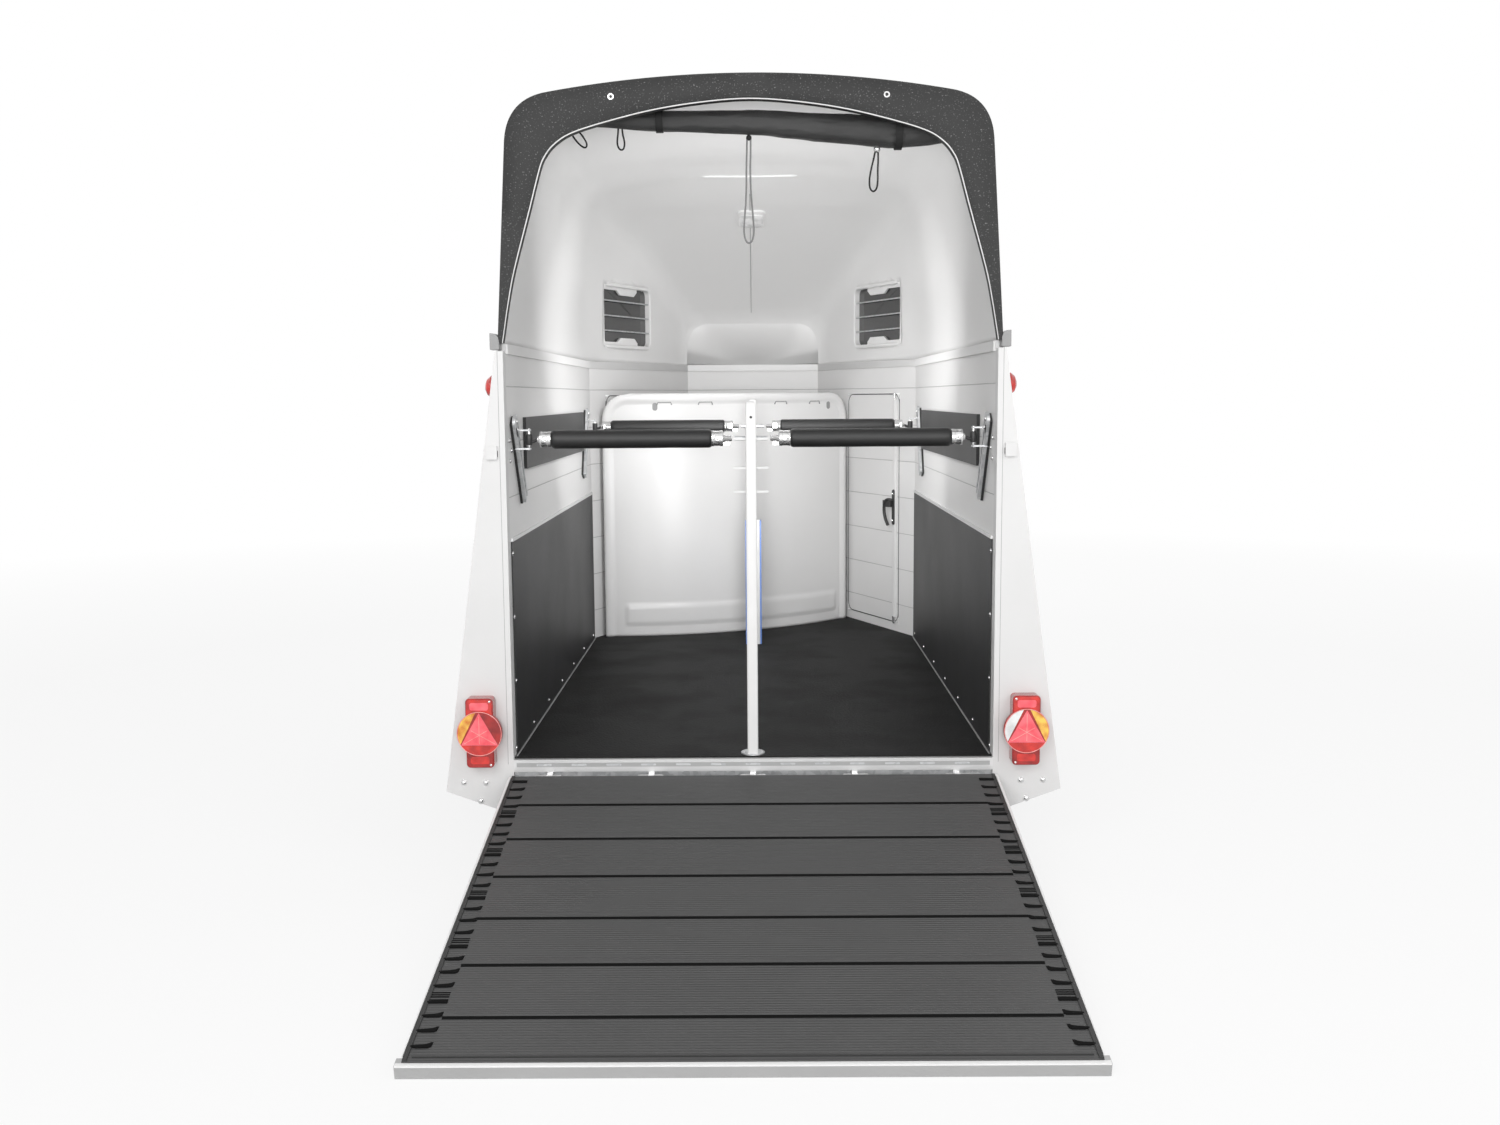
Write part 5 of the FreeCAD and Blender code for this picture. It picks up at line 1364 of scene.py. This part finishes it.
def rim_fittings(body, centre, way):
    """Rings of nuts and of slots: profile, count, first turn, radius, distance outward, material, sides."""
    nuts = ([(0.0, 0.0), (0.0, 0.0105), (0.012, 0.0105), (0.016, 0.008), (0.0165, 0.0)],
            5, 0.0, 0.050, 0.0440, 0, 6)
    slots = ([(0.0, 0.0), (0.0, 0.0135), (0.0012, 0.0125), (0.0012, 0.0)], 10, 0.5, 0.128, 0.0195, 1, 20)
    form = Form(CHROME, DARK_PLASTIC)
    for profile, count, first, radius, out, material, sides in (nuts, slots):
        for number in range(count):
            turn = 2 * math.pi * (number + first) / count
            spot = (centre[0] + way * out, centre[1] + radius * math.sin(turn),
                    centre[2] + radius * math.cos(turn))
            form.spun(profile, spot, "x", material, sides, way)
    form.piece(f"{body}_nuts", body)


for side_name, side in NAMED_SIDES:
    for end, station in WHEELS.items():
        wheel = f"{side_name}_{end}_wheel"
        tyre(f"{wheel}_tread", wheel, (side * WHEEL_X, station, WHEEL_Z))
        rim_fittings(wheel, (side * WHEEL_X, station, WHEEL_Z), side)


# Rolled tarp: one cloth wound two and a half times, with folds, two straps, and knobs that hold the loops
ROLL_STATION = 0.110
ROLL_TURNS = 2.5
# places along the roll: across, height of its middle above the floor, radius
ROLL_RINGS = ((-0.640, 2.162, 0.020), (-0.30, 2.155, 0.040), (0.0, 2.150, 0.0485), (0.30, 2.128, 0.058),
              (0.470, 2.115, 0.0625), (0.60, 2.116, 0.057), (0.671, 2.118, 0.048))


def roll_ring(x):
    """Centre height and radius of the roll at a place across it."""
    for (x0, z0, r0), (x1, z1, r1) in zip(ROLL_RINGS, ROLL_RINGS[1:]):
        if x <= x1:
            share = 0.35 * eased(x, x0, x1) + 0.65 * (x - x0) / (x1 - x0)
            return z0 + (z1 - z0) * share, r0 + (r1 - r0) * share
    return ROLL_RINGS[-1][1:]


def tarp_cloth():
    columns, steps = 150, 130
    left, right = ROLL_RINGS[0][0], ROLL_RINGS[-1][0]
    rows = []
    for column in range(columns + 1):
        x = left + (right - left) * column / columns
        rise, radius = roll_ring(x)
        row = []
        for step in range(steps + 1):
            share = step / steps
            turn = 2 * math.pi * ROLL_TURNS * share + 3.9 + 0.25 * math.sin(3 * x)
            fold = noise.noise(Vector((x * 9, math.cos(turn) * 1.3, math.sin(turn) * 1.3 + share)))
            crease = abs(noise.noise(Vector((x * 3.2, math.cos(turn + x) * 2.2, math.sin(turn + x) * 2.2))))
            reach = radius * (0.52 + 0.44 * share) - 0.0045 * abs(fold) - 0.004 * crease
            row.append((x, ROLL_STATION + reach * math.cos(turn), FLOOR + rise + reach * math.sin(turn)))
        rows.append(row)
    form = Form(VINYL)
    form.grid(rows)
    roll = form.piece("tarp_cloth", replaces="tarp_roll", sharp=70, outward=False)


def tarp_straps():
    form = Form(ELASTIC, CHROME)
    for x in (-0.300, 0.500):
        rise, radius = roll_ring(x)
        band = [(-0.012, radius * 0.95), (-0.012, radius), (0.012, radius), (0.012, radius * 0.95)]
        form.spun(band, (x, ROLL_STATION, FLOOR + rise), "x", sides=48)
    for x, rise, size, material in ((-0.001, 2.099, 0.0095, 0), (0.430, 2.058, 0.0120, 1)):
        turns = [math.pi * step / 10 for step in range(1, 10)]
        ball = [(-size * math.cos(turn), size * math.sin(turn)) for turn in turns]
        form.spun([(-size, 0.0)] + ball + [(size, 0.0)], (x, LOOP_STATION, FLOOR + rise), "z", material, 20)
    form.piece("tarp_straps")


tarp_cloth()
tarp_straps()


# Studio: pale floor, white surroundings for the camera and for reflections, soft lamps
WORLD_LIGHT = 0.56
FLOOR_GLOW = 0.82
FLOOR_REACH = 40


def floor_paint():
    """Pale floor: the camera sees it nearly white, and it keeps the shadow of the trailer."""
    paint = plain_paint("studio floor", tone(0.78), tone(0.82), 0.8, 1.4, 30.0, 0.0003)
    reach = paint.node("ShaderNodeVectorMath", operation="LENGTH")
    paint.link(paint.place, reach.inputs[0])
    share = paint.range(reach.outputs["Value"], FLOOR_GLOW, 1.0, 4.5, 11.0)
    seen = paint.node("ShaderNodeLightPath").outputs["Is Camera Ray"]
    mix = paint.node("ShaderNodeMixShader")
    paint.link(paint.math("MULTIPLY", seen, share), mix.inputs[0])
    paint.link(paint.shader.outputs[0], mix.inputs[1])
    paint.link(paint.node("ShaderNodeEmission").outputs[0], mix.inputs[2])
    paint.link(mix.outputs[0], paint.tree.nodes["Material Output"].inputs["Surface"])
    return paint.material


def floor_stage():
    mesh = bpy.data.meshes.new("studio_floor")
    corners = [(x * FLOOR_REACH, y * FLOOR_REACH, 0) for x, y in ((-1, -1), (1, -1), (1, 1), (-1, 1))]
    mesh.from_pydata(corners, [], [(0, 1, 2, 3)])
    mesh.materials.append(floor_paint())
    thing = placed("studio_floor", mesh)
    thing.location.z = -0.0005


def studio_world():
    """White where the camera, a reflection or a view through glass meets it, and dimmer as a light."""
    world = bpy.data.worlds.new("studio")
    bpy.context.scene.world = world
    world.use_nodes = True
    world.node_tree.nodes.clear()
    nodes = Nodes(world.node_tree)
    path = nodes.node("ShaderNodeLightPath").outputs
    seen = nodes.math("MAXIMUM", path["Is Camera Ray"], path["Is Glossy Ray"])
    mix = nodes.node("ShaderNodeMixShader")
    nodes.link(nodes.math("MAXIMUM", seen, path["Is Transmission Ray"]), mix.inputs[0])
    for strength, socket in ((WORLD_LIGHT, mix.inputs[1]), (1.0, mix.inputs[2])):
        background = nodes.node("ShaderNodeBackground")
        nodes.link(nodes.wired(background, 0, Color=(1, 1, 1, 1), Strength=strength), socket)
    nodes.link(mix.outputs[0], nodes.node("ShaderNodeOutputWorld").inputs["Surface"])


def lamp(name, at, aim, size, power):
    data = bpy.data.lights.new(name, "AREA")
    data.shape = "RECTANGLE"
    data.size, data.size_y = size
    data.energy = power
    thing = placed(name, data)
    thing.location = at
    thing.rotation_euler = (Vector(aim) - Vector(at)).to_track_quat("-Z", "Y").to_euler()
    thing.visible_camera = False


floor_stage()
studio_world()
lamp("key", (-2.6, -7.5, 4.6), (0, -0.6, 1.0), (3.5, 2.5), 130)
lamp("fill", (4.0, -4.6, 3.6), (0, 0.0, 1.0), (3.5, 3.0), 60)
lamp("rear", (0.0, -8.2, 2.0), (0, 0.8, 1.3), (3.0, 2.0), 160)
lamp("front", (1.5, 6.5, 4.8), (0, 1.0, 1.0), (3.5, 3.0), 110)
lamp("cabin", (0.0, -0.35, 2.22), (0, 0.35, 1.15), (0.4, 1.3), 9)
lamp("ceiling", (0.0, -0.45, 1.40), (0, 1.00, 2.35), (0.4, 1.4), 14)
bpy.context.scene.view_settings.view_transform = "Standard"
